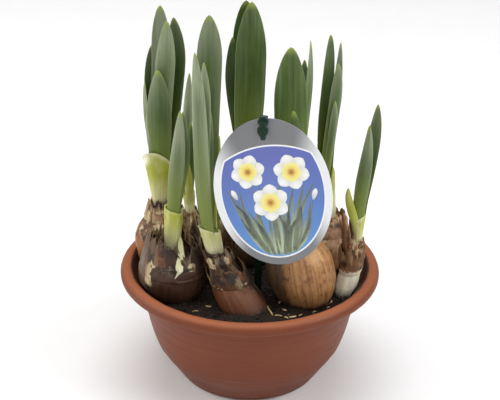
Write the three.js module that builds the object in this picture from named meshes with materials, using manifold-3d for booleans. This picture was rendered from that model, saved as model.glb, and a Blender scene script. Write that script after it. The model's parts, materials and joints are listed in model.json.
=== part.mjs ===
// Potted narcissus bulbs: eight bulbs with young leaves in a round bowl of soil, and a label on a stake.
// Units are millimetres. The origin is the middle of the bowl's underside, +Z is up, and the front is -Y.

import * as THREE from 'three';
import ManifoldModule from 'manifold-3d';

const wasm = await ManifoldModule();
wasm.setup();

const { lerp, clamp, degToRad, smoothstep } = THREE.MathUtils;

// The gap that every piece keeps to the piece it touches.
const GAP = 0.35;

// The bowl: a thin-walled pot with a rolled rim. WALL_OUTLINE is its outside, as [radius, height].
const RIM_RADIUS = 95;
const POT_HEIGHT = 88.5;
const RIM_BAND = 7.4;
const RIM_LIP = 10;
const WALL_THICKNESS = 2.4;
const FLOOR_THICKNESS = 3;
const WALL_OUTLINE = [
  [48, 0], [52.5, 2.2], [56, 7.5], [60.8, 15], [67.4, 25], [72.2, 38], [75.6, 52], [79, 66], [82, 80],
];
const ROUND_SIDES = 36;
const WALL_STEPS = 8;

// The soil lies this high in the bowl, with soft mounds of this height.
const SOIL_LEVEL = 76;
const SOIL_RELIEF = 1.3;

// Fineness of the grown pieces. TIDY is how far a cut edge may move when slivers are merged.
const TIDY = 0.14;
const BULB_SIDES = 16;
const BULB_ROWS = 9;
const SHOOT_SIDES = 10;
const SHOOT_ROWS = 3;
const LEAF_ROWS = 6;
const LEAF_COLUMNS = 3;
const SKIN_THICKNESS = 1;
const SKIN_SINK = 0.4;
const LEAF_THICKNESS = 1.9;
const LEAF_EDGE = 0.9;

// The label: an oval card that hangs on a stake by a hole near its top edge.
const CARD_WIDTH = 82;
const CARD_HEIGHT = 104;
const CARD_THICKNESS = 0.8;
const CARD_CENTRE = new THREE.Vector3(15, -48, 168.3);
const CARD_YAW = 11;
const CARD_LEAN = 9;
const CARD_TURN = 11.5;
const CARD_HOLE_RADIUS = 3.5;
const CARD_HOLE_UP = 43.7;
const STAKE_WIDTH = 5;
const STAKE_THICKNESS = 1.5;
const STAKE_FOOT = new THREE.Vector3(5.5, -10, 46);
const STAKE_OFFSET = 1.7;
const KNOB_WIDTH = 6.6;
const PEG_RADIUS = 2.5;

// Each plant: its bulb from foot to neck, the pale sheath from the neck to its mouth, leaves and torn skins.
// A bulb's girth is its half-width [across, deep] at the fraction belly of its height. Its shoulder is a
// power: more than 1 makes it fuller above the belly. A sheath has half-widths [across, deep] at its base and
// at its mouth, and the mouth slants: [rise, the side that is high in degrees from the front]. A leaf has its
// tip, full width, the way its outside looks in degrees from the front, its place in the bundle from the axis
// outwards, how far its middle bows sideways, and the length over which it narrows to the tip. A skin starts
// at a fraction of the bulb's height and ends round its top, with the share torn off at random and its dip:
// [the low side in degrees from the front, depth].
const PLANTS = [
  {
    name: 'left_back',
    bulb: {
      foot: [-56.5, 17, 67], neck: [-66.5, 18, 126], girth: [24.2, 21], belly: 0.39, neckRadius: 7.5,
      shoulder: 1.6, seed: 3,
    },
    sheath: { mouth: [-66.4, 15, 159], base: [5, 4.6], top: [10.2, 6.6], slant: [13, -24], spikes: [] },
    leaves: [
      { tip: [-64.3, 20, 277.5], width: 14.5, face: 165, place: 1.5, bow: [1, 1], taper: 32 },
      { tip: [-59.6, 14, 268.5], width: 14, face: 8, place: 1.2, bow: [0.5, 0], taper: 34 },
      { tip: [-55.2, 23, 268], width: 15.5, face: 152, place: 2.5, bow: [6, 1], taper: 34 },
      { tip: [-70.4, 24, 247.5], width: 12.5, face: 205, place: 3.4, bow: [-1.5, 1], taper: 28 },
      { tip: [-65.8, 8, 234.5], width: 17.5, face: -4, place: 1.9, bow: [1, -1.2], taper: 36 },
      { tip: [-75.6, 16, 222.5], width: 7.5, face: -60, place: 4, bow: [-0.9, 0], taper: 22 },
      { tip: [-74, 11.5, 200.5], width: 5.5, face: -50, place: 3.6, bow: [-0.8, 0], taper: 16 },
    ],
    skins: [
      { start: 0.82, top: [-66.6, 18, 132], radius: 6.8, tear: 0.45, seed: 11, dip: [0, 0] },
      { start: 0.6, top: [-64.5, 17.5, 119.5], radius: 10.8, tear: 0.5, seed: 12, dip: [60, 0.3] },
    ],
  },
  {
    name: 'left_front',
    bulb: {
      foot: [-54.5, -25, 67], neck: [-55.5, -25, 113], girth: [24.4, 21.6], belly: 0.52, neckRadius: 8.5,
      shoulder: 2.4, seed: 5,
    },
    sheath: { mouth: [-54, -27, 144.5], base: [5.8, 4.6], top: [6.7, 5.2], slant: [2.5, 250], spikes: [] },
    leaves: [
      { tip: [-48.6, -30, 219.8], width: 10.8, face: -5, place: 2.2, bow: [0.3, 0], taper: 46 },
      { tip: [-47, -24, 217], width: 9, face: 160, place: 2.4, bow: [3.4, 0.5], taper: 36 },
    ],
    skins: [
      { start: 0.6, top: [-56.5, -24, 134], radius: 13.2, tear: 0.4, seed: 21, dip: [35, 0.82] },
      { start: 0.76, top: [-49.5, -23, 123.5], radius: 9.6, tear: 0.4, seed: 22, dip: [-60, 0.6] },
    ],
  },
  {
    name: 'centre_front',
    bulb: {
      foot: [9, -47, 50], neck: [-24.8, -34, 115], girth: [17.8, 17], belly: 0.36, neckRadius: 8.6,
      shoulder: 1.2, seed: 7,
    },
    sheath: { mouth: [-28.6, -33.5, 132.5], base: [6.2, 5], top: [7.2, 5.6], slant: [2, -75], spikes: [
      { tip: [-22.3, -24, 199], width: 5, face: 110, place: 4.6, bow: [0.5, 1], taper: 16 },
    ] },
    leaves: [
      { tip: [-29.3, -18, 283.9], width: 17.5, face: 176, place: 3, bow: [3.4, 2], taper: 32 },
      { tip: [-38.3, -34, 263.4], width: 13.2, face: -32, place: 2.6, bow: [4.6, 0], taper: 70 },
      { tip: [-32.6, -27, 253.9], width: 8.6, face: -30, place: 0.6, bow: [3.4, 0], taper: 30 },
      { tip: [-31, -25.5, 228.7], width: 8, face: 20, place: 0.4, bow: [3.6, 0], taper: 34 },
    ],
    skins: [
      { start: 0.88, top: [-25.6, -34, 122], radius: 10.2, tear: 0.5, seed: 31, dip: [0, 0] },
      { start: 0.66, top: [-21.5, -35, 113], radius: 12.6, tear: 0.6, seed: 32, dip: [-30, 0.3] },
    ],
  },
  {
    name: 'right_front',
    bulb: {
      foot: [41, -33, 69], neck: [30, -23.5, 131], girth: [24.8, 23.6], belly: 0.42, neckRadius: 8.2,
      shoulder: 2, seed: 9,
    },
    sheath: { mouth: [29, -21.5, 162], base: [6.4, 5], top: [10, 6.8], slant: [4, 20], spikes: [] },
    leaves: [
      { tip: [26.4, -6, 257.7], width: 23, face: 2, place: 1.8, bow: [-0.6, 1], taper: 40 },
      { tip: [28.6, -16, 215.2], width: 11.5, face: 4, place: 4, bow: [0, 0], taper: 18 },
      { tip: [39.6, 4, 258.8], width: 11, face: 68, place: 4, bow: [2.2, 1], taper: 36 },
      { tip: [36.2, 7, 243.9], width: 9, face: 150, place: 2.8, bow: [1, 1], taper: 30 },
    ],
    skins: [
      { start: 0.84, top: [29.8, -23, 139], radius: 9.4, tear: 0.5, seed: 41, dip: [0, 0] },
    ],
  },
  {
    name: 'right',
    bulb: {
      foot: [66.5, -23, 65], neck: [77, -16, 114.5], girth: [8, 8.2], belly: 0.3, neckRadius: 5.4,
      shoulder: 1.3, seed: 13,
    },
    sheath: { mouth: [76.6, -16, 134.5], base: [2.9, 2.7], top: [5.3, 4.2], slant: [3, 100], spikes: [
      { tip: [68.8, -17.5, 157.8], width: 7, face: -25, place: 3.2, bow: [-1.6, 0], taper: 20 },
    ] },
    leaves: [
      { tip: [87.5, -7, 217], width: 12, face: 150, place: 1.6, bow: [1.2, 0], taper: 46 },
      { tip: [81.6, -15, 204.5], width: 10.6, face: -14, place: 1.6, bow: [1.4, 0], taper: 52 },
    ],
    skins: [
      { start: 0.53, top: [74.8, -17.5, 119], radius: 10.2, tear: 0.34, seed: 51, dip: [40, 0.15] },
      { start: 0.76, top: [69.8, -16, 141], radius: 7, tear: 0.4, seed: 52, dip: [95, 0.66] },
    ],
  },
  {
    name: 'centre_back',
    bulb: {
      foot: [-1, 34, 65], neck: [-3, 30, 124], girth: [24, 22.5], belly: 0.42, neckRadius: 8,
      shoulder: 1.7, seed: 15,
    },
    sheath: { mouth: [-3.2, 31, 160], base: [6.4, 5], top: [8.6, 6.4], slant: [4, 8], spikes: [] },
    leaves: [
      { tip: [-5, 40, 275.4], width: 20, face: 178, place: 2.8, bow: [0.5, 1], taper: 36 },
      { tip: [-1.1, 28, 278.3], width: 22, face: 2, place: 2.2, bow: [1, 0], taper: 42 },
      { tip: [-14.1, 36, 249.6], width: 13.5, face: -140, place: 4.4, bow: [-3, 1], taper: 32 },
    ],
    skins: [
      { start: 0.82, top: [-3, 30, 131], radius: 9.4, tear: 0.5, seed: 61, dip: [0, 0] },
    ],
  },
  {
    name: 'right_back',
    bulb: {
      foot: [51, 27, 65], neck: [57, 19.5, 117], girth: [22.6, 21.5], belly: 0.44, neckRadius: 8,
      shoulder: 1.8, seed: 17,
    },
    sheath: { mouth: [54, 18, 150], base: [6, 4.8], top: [7.2, 5.6], slant: [4, 120], spikes: [
      { tip: [59.3, 15, 158.6], width: 5.5, face: 60, place: 5.4, bow: [0, 0], taper: 12 },
    ] },
    leaves: [
      { tip: [54.6, 22, 257], width: 10.4, face: -150, place: 3.6, bow: [1.2, 0.5], taper: 40 },
      { tip: [62, 27, 249.7], width: 10, face: 120, place: 3.2, bow: [1, 1], taper: 34 },
      { tip: [60.4, 17, 237.8], width: 9.4, face: 20, place: 1.4, bow: [1.4, 0], taper: 30 },
      { tip: [58.8, 12.5, 211.4], width: 5.4, face: 14, place: 4.2, bow: [0.8, 0], taper: 18 },
    ],
    skins: [
      { start: 0.76, top: [58, 18.8, 126], radius: 9.6, tear: 0.4, seed: 71, dip: [-90, 0.2] },
    ],
  },
  {
    name: 'left_middle',
    bulb: {
      foot: [-31, 0, 66], neck: [-43.6, -4, 131], girth: [13, 13], belly: 0.45, neckRadius: 5,
      shoulder: 1.4, seed: 19,
    },
    sheath: { mouth: [-44.4, -4, 147], base: [3.4, 3], top: [4.6, 3.8], slant: [3, 200], spikes: [
      { tip: [-44.2, -11, 172.5], width: 6, face: 10, place: 3, bow: [0, 0], taper: 20 },
    ] },
    leaves: [
      { tip: [-43.4, -2, 236.8], width: 6.6, face: 10, place: 0.6, bow: [-1, 1], taper: 34 },
      { tip: [-42.7, -7, 202.2], width: 6, face: 30, place: 2.2, bow: [1.8, -1], taper: 26 },
    ],
    skins: [
      { start: 0.66, top: [-43, -4, 138], radius: 7.4, tear: 0.55, seed: 81, dip: [0, 0] },
    ],
  },
];

const COLOURS = {
  pot: 0xa3603f, soil: 0x241b15, leaves: 0x5c7045, sheath: 0xb9bd7c, card: 0x9a9ca0, stake: 0x12382a,
  left_back: 0x7a5335, left_front: 0x4a3226, left_middle: 0x6e4c34, centre_front: 0x4e3022,
  right_front: 0x97683f, right: 0x6b4a33, centre_back: 0x5e4130, right_back: 0x9a7358,
};

const vector = (list) => new THREE.Vector3(...list);

// A repeatable number from 0 to 1 for each pair of seed and index.
function draw(seed, index) {
  const wave = Math.sin(seed * 12.9898 + index * 78.233) * 43758.5453;
  return wave - Math.floor(wave);
}

// A closed solid from points and the triangles between them.
function makeSolid(points, faces) {
  const mesh = new wasm.Mesh({
    numProp: 3,
    vertProperties: Float32Array.from(points.flatMap((point) => point.toArray())),
    triVerts: Uint32Array.from(faces.flat()),
  });
  return new wasm.Manifold(mesh);
}

// A stack of rings, each anticlockwise from above, closed by a fan at both ends.
function ringSolid(rings) {
  const sides = rings[0].length;
  const points = rings.flat();
  const faces = [];
  for (let start = 0; start + sides < points.length; start += sides) {
    for (let side = 0; side < sides; side += 1) {
      const next = (side + 1) % sides;
      const [a, b] = [start + side, start + next];
      faces.push([a, b, b + sides], [a, b + sides, a + sides]);
    }
  }
  const lastStart = points.length - sides;
  const [bottom, top] = [rings[0], rings.at(-1)].map((ring) => {
    const middle = ring.reduce((sum, point) => sum.add(point), new THREE.Vector3());
    return points.push(middle.divideScalar(sides)) - 1;
  });
  for (let side = 0; side < sides; side += 1) {
    const next = (side + 1) % sides;
    faces.push([bottom, next, side], [top, lastStart + side, lastStart + next]);
  }
  return makeSolid(points, faces);
}

// A thin sheet from two matching grids of points, the outside and the inside, split into triangles alike.
// A wrapped sheet joins its last column to its first.
function sheetSolid(outside, inside, wrapped = false) {
  const rows = outside.length;
  const columns = outside[0].length;
  const points = [...outside.flat(), ...inside.flat()];
  const shift = rows * columns;
  const faces = [];
  const quad = (a, b, c, d) => faces.push([a, b, c], [a, c, d]);
  const steps = wrapped ? columns : columns - 1;
  for (let row = 0; row + 1 < rows; row += 1) {
    for (let column = 0; column < steps; column += 1) {
      const next = (column + 1) % columns;
      const [a, b] = [row * columns + column, row * columns + next];
      const [c, d] = [b + columns, a + columns];
      quad(a, b, c, d);
      faces.push([a + shift, c + shift, b + shift], [a + shift, d + shift, c + shift]);
    }
    if (!wrapped) {
      const left = row * columns;
      const right = left + columns - 1;
      quad(left, left + columns, left + columns + shift, left + shift);
      quad(right, right + shift, right + columns + shift, right + columns);
    }
  }
  const lastRow = (rows - 1) * columns;
  for (let column = 0; column < steps; column += 1) {
    const next = (column + 1) % columns;
    quad(column, column + shift, next + shift, next);
    quad(lastRow + column, lastRow + next, lastRow + next + shift, lastRow + column + shift);
  }
  return makeSolid(points, faces);
}

// A round ring of the bowl's fineness about the bowl's axis, at a height that may change with the place.
function roundRing(radius, height) {
  return Array.from({ length: ROUND_SIDES }, (_, side) => {
    const angle = (2 * Math.PI * side) / ROUND_SIDES;
    const [x, y] = [radius * Math.cos(angle), radius * Math.sin(angle)];
    return new THREE.Vector3(x, y, height(x, y));
  });
}

// The bowl's outside radius at a height: a smooth curve through WALL_OUTLINE.
const wallCurve = new THREE.SplineCurve(WALL_OUTLINE.map((corner) => new THREE.Vector2(...corner)));
const wallPoints = wallCurve.getPoints(80);
function wallRadius(height) {
  const above = Math.max(1, wallPoints.findIndex((point) => point.y >= height));
  const [low, high] = [wallPoints[above - 1], wallPoints[above]];
  return lerp(low.x, high.x, clamp((height - low.y) / (high.y - low.y), 0, 1));
}

// The bowl's inside radius at a height: straight runs between the heights where the inside is turned.
const insideOutline = [FLOOR_THICKNESS, 6, 16, 34, 56, 76].map((height, index) => {
  const corner = index ? 0 : 3;
  return [wallRadius(height) - WALL_THICKNESS - corner, height];
});
insideOutline.push([RIM_RADIUS - RIM_LIP, POT_HEIGHT - 2.6]);
function innerRadius(height) {
  const above = insideOutline.findIndex((corner) => corner[1] >= height);
  const index = above < 0 ? insideOutline.length - 1 : Math.max(above, 1);
  const [low, high] = [insideOutline[index - 1], insideOutline[index]];
  return lerp(low[0], high[0], clamp((height - low[1]) / (high[1] - low[1]), 0, 1));
}

// The bowl, turned from one closed outline: outside up, over the rolled rim, and inside down to the floor.
function makePot() {
  const rimFoot = POT_HEIGHT - RIM_BAND;
  const outline = [[0, 0]];
  for (let step = 0; step <= WALL_STEPS; step += 1) {
    const point = wallCurve.getPoint(step / WALL_STEPS);
    outline.push([point.x, Math.min(point.y, rimFoot - 0.2)]);
  }
  outline.push([RIM_RADIUS - 1, rimFoot], [RIM_RADIUS, rimFoot + 1.5], [RIM_RADIUS - 0.3, rimFoot + 4]);
  outline.push([RIM_RADIUS - 1.9, rimFoot + 6.3], [RIM_RADIUS - 4.6, POT_HEIGHT]);
  outline.push([RIM_RADIUS - 8.4, POT_HEIGHT - 0.5]);
  outline.push(...insideOutline.toReversed(), [0, FLOOR_THICKNESS]);
  const points = outline.map(([radius, height]) => new THREE.Vector2(radius, height));
  return new THREE.LatheGeometry(points, ROUND_SIDES).rotateX(Math.PI / 2);
}

// How high the soil lies at a place: the level, with mounds, falling a little towards the wall.
function soilHeight(x, y) {
  const mounds = Math.sin(0.09 * x + 1.3) * Math.cos(0.11 * y + 0.4) + 0.6 * Math.sin(0.21 * x - 0.17 * y);
  return SOIL_LEVEL + SOIL_RELIEF * mounds - 1.5 * smoothstep(Math.hypot(x, y), 60, 80);
}

// The soil, filling the bowl up to its mounded top.
function soilSolid() {
  const rings = [];
  for (const [radius, height] of insideOutline.slice(0, -2)) {
    const lift = rings.length ? 0 : GAP;
    rings.push(roundRing(radius - GAP, () => height + lift));
  }
  const edge = innerRadius(SOIL_LEVEL - 4) - GAP;
  for (const radius of [edge, edge - 6, 54, 28]) {
    rings.push(roundRing(radius, soilHeight));
  }
  return ringSolid(rings);
}

// How wide a bulb is at a fraction of its height, as a share from 0 to 1 of its belly above the neck's width.
function bulbFullness(bulb, t) {
  if (t < bulb.belly) {
    return Math.sqrt(Math.max(0, 1 - (1 - t / bulb.belly) ** 2));
  }
  return 0.5 + 0.5 * Math.cos(Math.PI * ((t - bulb.belly) / (1 - bulb.belly)) ** bulb.shoulder);
}

// A point of a bulb's lumpy surface at a fraction of its height, moved out by a margin.
function bulbPoint(bulb, t, angle, margin) {
  const full = bulbFullness(bulb, t);
  const core = t < bulb.belly ? 0 : bulb.neckRadius;
  const [across, deep] = bulb.girth.map((half) => core + (half - core) * full);
  const lump = 0.018 * Math.sin(3 * angle + bulb.seed) + 0.012 * Math.sin(7 * angle + 2 * bulb.seed + 4 * t);
  const offset = new THREE.Vector3(across * Math.cos(angle), deep * Math.sin(angle), 0);
  offset.multiplyScalar(1 + lump * full + margin / offset.length());
  return offset.add(vector(bulb.foot).lerp(vector(bulb.neck), t));
}

// A bulb, grown by a margin: rings from foot to neck, held clear of the bowl's wall.
function bulbSolid(bulb, grow = 0) {
  const rings = [];
  for (let row = 0; row <= BULB_ROWS; row += 1) {
    const t = lerp(0.02, 1, (1 - Math.cos((Math.PI * row) / BULB_ROWS)) / 2);
    rings.push(Array.from({ length: BULB_SIDES }, (_, side) => {
      const point = bulbPoint(bulb, t, (2 * Math.PI * side) / BULB_SIDES, grow);
      point.z += grow * (2 * t - 1);
      return holdInBowl(point, grow);
    }));
  }
  return ringSolid(rings);
}

// Moves a point that would touch the bowl's wall or rim inwards, just clear of it.
function holdInBowl(point, grow) {
  const inside = innerRadius(point.z) + 12 * smoothstep(point.z, POT_HEIGHT + 4, POT_HEIGHT + 14);
  const limit = inside * Math.cos(Math.PI / ROUND_SIDES) - 3.5 * GAP + grow;
  const radius = Math.hypot(point.x, point.y);
  const scale = Math.min(1, limit / radius);
  return new THREE.Vector3(point.x * scale, point.y * scale, point.z);
}

// A torn skin that peels off a bulb: a thin ragged sleeve from the bulb's own surface up to a free edge,
// low where it dips.
function skinSolid(bulb, skin, grow = 0) {
  const [outside, inside] = [1, -1].map((face) => {
    const offset = face * (SKIN_THICKNESS / 2 + grow);
    return [0, 1].map((row) => Array.from({ length: BULB_SIDES }, (_, side) => {
      const angle = (2 * Math.PI * side) / BULB_SIDES;
      const dip = 0.5 + 0.5 * Math.cos(angle - degToRad(skin.dip[0] - 90));
      const height = (1 - skin.tear * draw(skin.seed, side)) * (1 - skin.dip[1] * dip ** 2);
      const radius = skin.radius + offset;
      const reach = new THREE.Vector3(radius * Math.cos(angle), radius * Math.sin(angle), 0);
      const edge = reach.add(vector(skin.top));
      const point = bulbPoint(bulb, skin.start, angle, offset - SKIN_SINK).lerp(edge, row * height);
      point.z += grow * (2 * row - 1);
      return holdInBowl(point, offset);
    }));
  });
  return sheetSolid(outside, inside, true);
}

function skinnedBulb(plant, grow = 0) {
  const skins = plant.skins.map((skin) => skinSolid(plant.bulb, skin, grow));
  return skins.reduce((bulb, skin) => bulb.add(skin), bulbSolid(plant.bulb, grow));
}

// The middle of a shoot at a height fraction: from the bulb's neck to the sheath's mouth and on above it.
function shootCentre(plant, s) {
  return vector(plant.bulb.neck).lerp(vector(plant.sheath.mouth), s);
}

// A stack of oval rings along a shoot between two height fractions, inset from the sheath's outside.
// A slanted stack ends in the sheath's slanting mouth.
function shootSolid(plant, fromS, toS, inset, slanted) {
  const { base, top, slant, mouth } = plant.sheath;
  const height = mouth[2] - plant.bulb.neck[2];
  const rings = [];
  for (let row = 0; row <= SHOOT_ROWS; row += 1) {
    const lift = slanted ? (row / SHOOT_ROWS) ** 2 * (slant[0] / height) : 0;
    rings.push(Array.from({ length: SHOOT_SIDES }, (_, side) => {
      const angle = (2 * Math.PI * side) / SHOOT_SIDES;
      const s = lerp(fromS, toS, row / SHOOT_ROWS) + lift * Math.cos(angle - degToRad(slant[1] - 90));
      const [across, deep] = base.map((value, axis) => lerp(value, top[axis], clamp(s, 0, 1.2)) - inset);
      const offset = new THREE.Vector3(across * Math.cos(angle), deep * Math.sin(angle), 0);
      return offset.add(shootCentre(plant, s));
    }));
  }
  return ringSolid(rings);
}

// The share of its full width that a leaf has at a distance from its tip: a blunt point, slimmer at the root.
function leafShare(leaf, distance, length) {
  const point = Math.sin((Math.PI / 2) * Math.min(1, distance / leaf.taper)) ** 0.6;
  return Math.max(0.12, point) * lerp(0.8, 1, smoothstep(length - distance, 0, 0.45 * length));
}

// A strap leaf: a channelled blade along a curve from the bundle to its tip, grown by a margin.
function leafSolid(plant, leaf, grow = 0, rootS = 0.86) {
  const outward = new THREE.Vector3(Math.sin(degToRad(leaf.face)), -Math.cos(degToRad(leaf.face)), 0);
  const tip = vector(leaf.tip);
  const room = 0.62 * lerp(plant.sheath.base[1], plant.sheath.top[1], rootS);
  const root = shootCentre(plant, rootS).addScaledVector(outward, Math.min(leaf.place, room));
  const length = root.distanceTo(tip);
  const climb = shootCentre(plant, 1).sub(shootCentre(plant, 0)).normalize();
  const bow = new THREE.Vector3(leaf.bow[0], leaf.bow[1], 0);
  const low = root.clone().addScaledVector(climb, 0.36 * length);
  low.addScaledVector(outward, 0.4 * leaf.place).add(bow);
  const high = new THREE.Vector3(0, 0, -0.3 * length).add(tip).lerp(low, 0.12).addScaledVector(bow, 0.9);
  const curve = new THREE.CubicBezierCurve3(root, low, high, tip);
  const [outside, inside] = [[], []];
  for (let row = 0; row <= LEAF_ROWS; row += 1) {
    const s = 1 - (1 - row / LEAF_ROWS) ** 1.6;
    const along = curve.getTangent(s);
    const across = new THREE.Vector3().crossVectors(along, outward).normalize();
    const normal = new THREE.Vector3().crossVectors(across, along).normalize();
    const share = leafShare(leaf, (1 - s) * length, length);
    const half = (leaf.width / 2) * share + grow;
    const sag = leaf.width * 0.13 * share;
    const centre = curve.getPoint(s).addScaledVector(along, row === LEAF_ROWS ? grow : 0);
    const line = (side) => Array.from({ length: LEAF_COLUMNS + 1 }, (_, column) => {
      const u = (2 * column) / LEAF_COLUMNS - 1;
      const thick = lerp(LEAF_THICKNESS, LEAF_EDGE, u * u) * lerp(0.55, 1, share) / 2 + grow;
      const depth = sag * (1 - u * u) + side * thick;
      return centre.clone().addScaledVector(across, half * u).addScaledVector(normal, depth);
    });
    outside.push(line(1));
    inside.push(line(-1));
  }
  return sheetSolid(outside, inside);
}

// A plant's green leaves: the blades fused to the bundle that stands in the sheath.
function leavesSolid(plant, grow = 0) {
  let bundle = shootSolid(plant, 0.12, 1.05, 1.25 - grow, false);
  for (const leaf of plant.leaves) {
    bundle = bundle.add(leafSolid(plant, leaf, grow));
  }
  return bundle;
}

// A plant's sheath: a sleeve round the bundle, with the short pale leaf tips that grow beside it.
function sheathSolid(plant, grow = 0) {
  let sleeve = shootSolid(plant, grow ? -0.24 : -0.2, 1, -grow, true);
  for (const spike of plant.sheath.spikes) {
    sleeve = sleeve.add(leafSolid(plant, spike, grow, 0.5));
  }
  return sleeve;
}

// The card's own axes: across, up and out of its face.
function cardBasis() {
  const turn = new THREE.Euler(degToRad(90 - CARD_LEAN), 0, -degToRad(CARD_YAW), 'ZXY');
  const frame = new THREE.Matrix4().makeRotationFromEuler(turn);
  return frame.multiply(new THREE.Matrix4().makeRotationZ(degToRad(CARD_TURN))).setPosition(CARD_CENTRE);
}

// The card: an oval with a round hole, its faces half the thickness before and behind its own plane.
function makeCard() {
  const outline = new THREE.Shape().absellipse(0, 0, CARD_WIDTH / 2, CARD_HEIGHT / 2, 0, 2 * Math.PI);
  outline.holes.push(new THREE.Path().absarc(0, CARD_HOLE_UP, CARD_HOLE_RADIUS, 0, 2 * Math.PI, true));
  const options = { depth: CARD_THICKNESS, bevelEnabled: false, curveSegments: 20 };
  const geometry = new THREE.ExtrudeGeometry(outline, options).translate(0, 0, -CARD_THICKNESS / 2);
  return geometry.applyMatrix4(cardBasis());
}

// The stake: a flat bar from the soil up behind the card, folded over its edge into a knob on its hole.
function stakeSolid(grow = 0) {
  const frame = cardBasis().multiply(new THREE.Matrix4().makeTranslation(0, CARD_HOLE_UP, 0));
  frame.multiply(new THREE.Matrix4().makeRotationZ(-degToRad(CARD_TURN)));
  const place = (up, out) => new THREE.Vector3(0, up, out).applyMatrix4(frame);
  const across = new THREE.Vector3(1, 0, 0).transformDirection(frame);
  const edgeUp = CARD_HEIGHT / 2 - CARD_HOLE_UP;
  const bend = edgeUp - 0.3;
  const shoulder = place(-14, -STAKE_OFFSET);
  const path = [
    [STAKE_FOOT, 1.4], [STAKE_FOOT.clone().lerp(shoulder, 0.12), STAKE_WIDTH],
    [STAKE_FOOT.clone().lerp(shoulder, 0.6), STAKE_WIDTH], [shoulder, STAKE_WIDTH],
    [place(bend - 1, -STAKE_OFFSET), STAKE_WIDTH],
  ];
  for (const angle of [30, 65, 90, 115, 150]) {
    const turn = degToRad(angle);
    path.push([place(bend + STAKE_OFFSET * Math.sin(turn), -STAKE_OFFSET * Math.cos(turn)), 5.6]);
  }
  path.push([place(bend - 1, STAKE_OFFSET), KNOB_WIDTH], [place(bend - 3, STAKE_OFFSET), KNOB_WIDTH]);
  path.push([place(bend - 5, STAKE_OFFSET), 4.6], [place(1.6, STAKE_OFFSET), KNOB_WIDTH]);
  path.push([place(-1.6, STAKE_OFFSET), KNOB_WIDTH], [place(-4, STAKE_OFFSET), 3.4]);
  const thick = STAKE_THICKNESS / 2 + grow;
  const [outside, inside] = [[], []];
  path.forEach(([point, width], index) => {
    const before = path[Math.max(0, index - 1)][0];
    const after = path[Math.min(path.length - 1, index + 1)][0];
    const along = after.clone().sub(before).normalize();
    const normal = new THREE.Vector3().crossVectors(across, along).normalize();
    const line = (side) => [-1, 1].map((u) => {
      const corner = point.clone().addScaledVector(across, u * (width / 2 + grow));
      return corner.addScaledVector(normal, side * thick);
    });
    outside.push(line(1));
    inside.push(line(-1));
  });
  const bar = sheetSolid(outside, inside);
  const peg = [-1.2, STAKE_OFFSET].map((out) => Array.from({ length: SHOOT_SIDES }, (_, side) => {
    const angle = (2 * Math.PI * side) / SHOOT_SIDES;
    const radius = PEG_RADIUS + grow;
    return new THREE.Vector3(radius * Math.cos(angle), radius * Math.sin(angle), out).applyMatrix4(frame);
  }));
  return bar.add(ringSolid(peg));
}

// The mesh of a solid with its slivers merged, without the crumbs that a cut can leave beside it.
function solidGeometry(solid) {
  const bodies = solid.simplify(TIDY).decompose();
  const mesh = bodies.reduce((best, body) => (body.volume() > best.volume() ? body : best)).getMesh();
  const geometry = new THREE.BufferGeometry();
  geometry.setAttribute('position', new THREE.BufferAttribute(mesh.vertProperties, 3));
  return geometry.setIndex(new THREE.BufferAttribute(mesh.triVerts, 1));
}

const object = new THREE.Group();

function addPiece(name, geometry, colour, roughness) {
  const material = new THREE.MeshStandardMaterial({ color: colour, roughness, metalness: 0 });
  const mesh = new THREE.Mesh(geometry, material);
  mesh.name = name;
  object.add(mesh);
}

// Bulbs that are pressed together: each is cut back where an earlier one stands.
const bulbs = new Map();
const grownBodies = [];
for (const plant of PLANTS) {
  let bulb = skinnedBulb(plant).subtract(sheathSolid(plant, GAP)).subtract(leavesSolid(plant, GAP));
  for (const body of grownBodies) {
    bulb = bulb.subtract(body);
  }
  bulbs.set(plant.name, bulb);
  grownBodies.push(skinnedBulb(plant, GAP));
}

addPiece('pot', makePot(), COLOURS.pot, 0.6);

let soil = soilSolid().subtract(stakeSolid(GAP));
for (const plant of PLANTS) {
  soil = soil.subtract(bulbSolid(plant.bulb, GAP));
}
addPiece('soil', solidGeometry(soil), COLOURS.soil, 0.95);

for (const plant of PLANTS) {
  const sheath = sheathSolid(plant).subtract(leavesSolid(plant, GAP));
  addPiece(`bulb_${plant.name}`, solidGeometry(bulbs.get(plant.name)), COLOURS[plant.name], 0.7);
  addPiece(`sheath_${plant.name}`, solidGeometry(sheath), COLOURS.sheath, 0.5);
  addPiece(`leaves_${plant.name}`, solidGeometry(leavesSolid(plant)), COLOURS.leaves, 0.45);
}

addPiece('label_card', makeCard(), COLOURS.card, 0.35);
addPiece('label_stake', solidGeometry(stakeSolid()), COLOURS.stake, 0.35);

export default object;
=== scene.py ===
# %% [markdown]
# # A bowl of sprouting narcissus bulbs
# The object is a plastic bowl of dark soil with eight papery bulbs, their pale sheaths and green strap leaves, and
# an oval picture label on a dark stake. The solids come from the frame. This lesson gives each of them the finer
# surface and the finish of the real thing.
#
# Every surface is worked out with numpy as a grid of points in millimetres, in the frame's own axes: +Z is up,
# -Y is the front. Modelling by hand would also work, but a formula keeps each piece where its solid stands.

# %% Load the frame
import json
import math

import bpy
import numpy as np
from mathutils import Matrix, Vector

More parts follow.
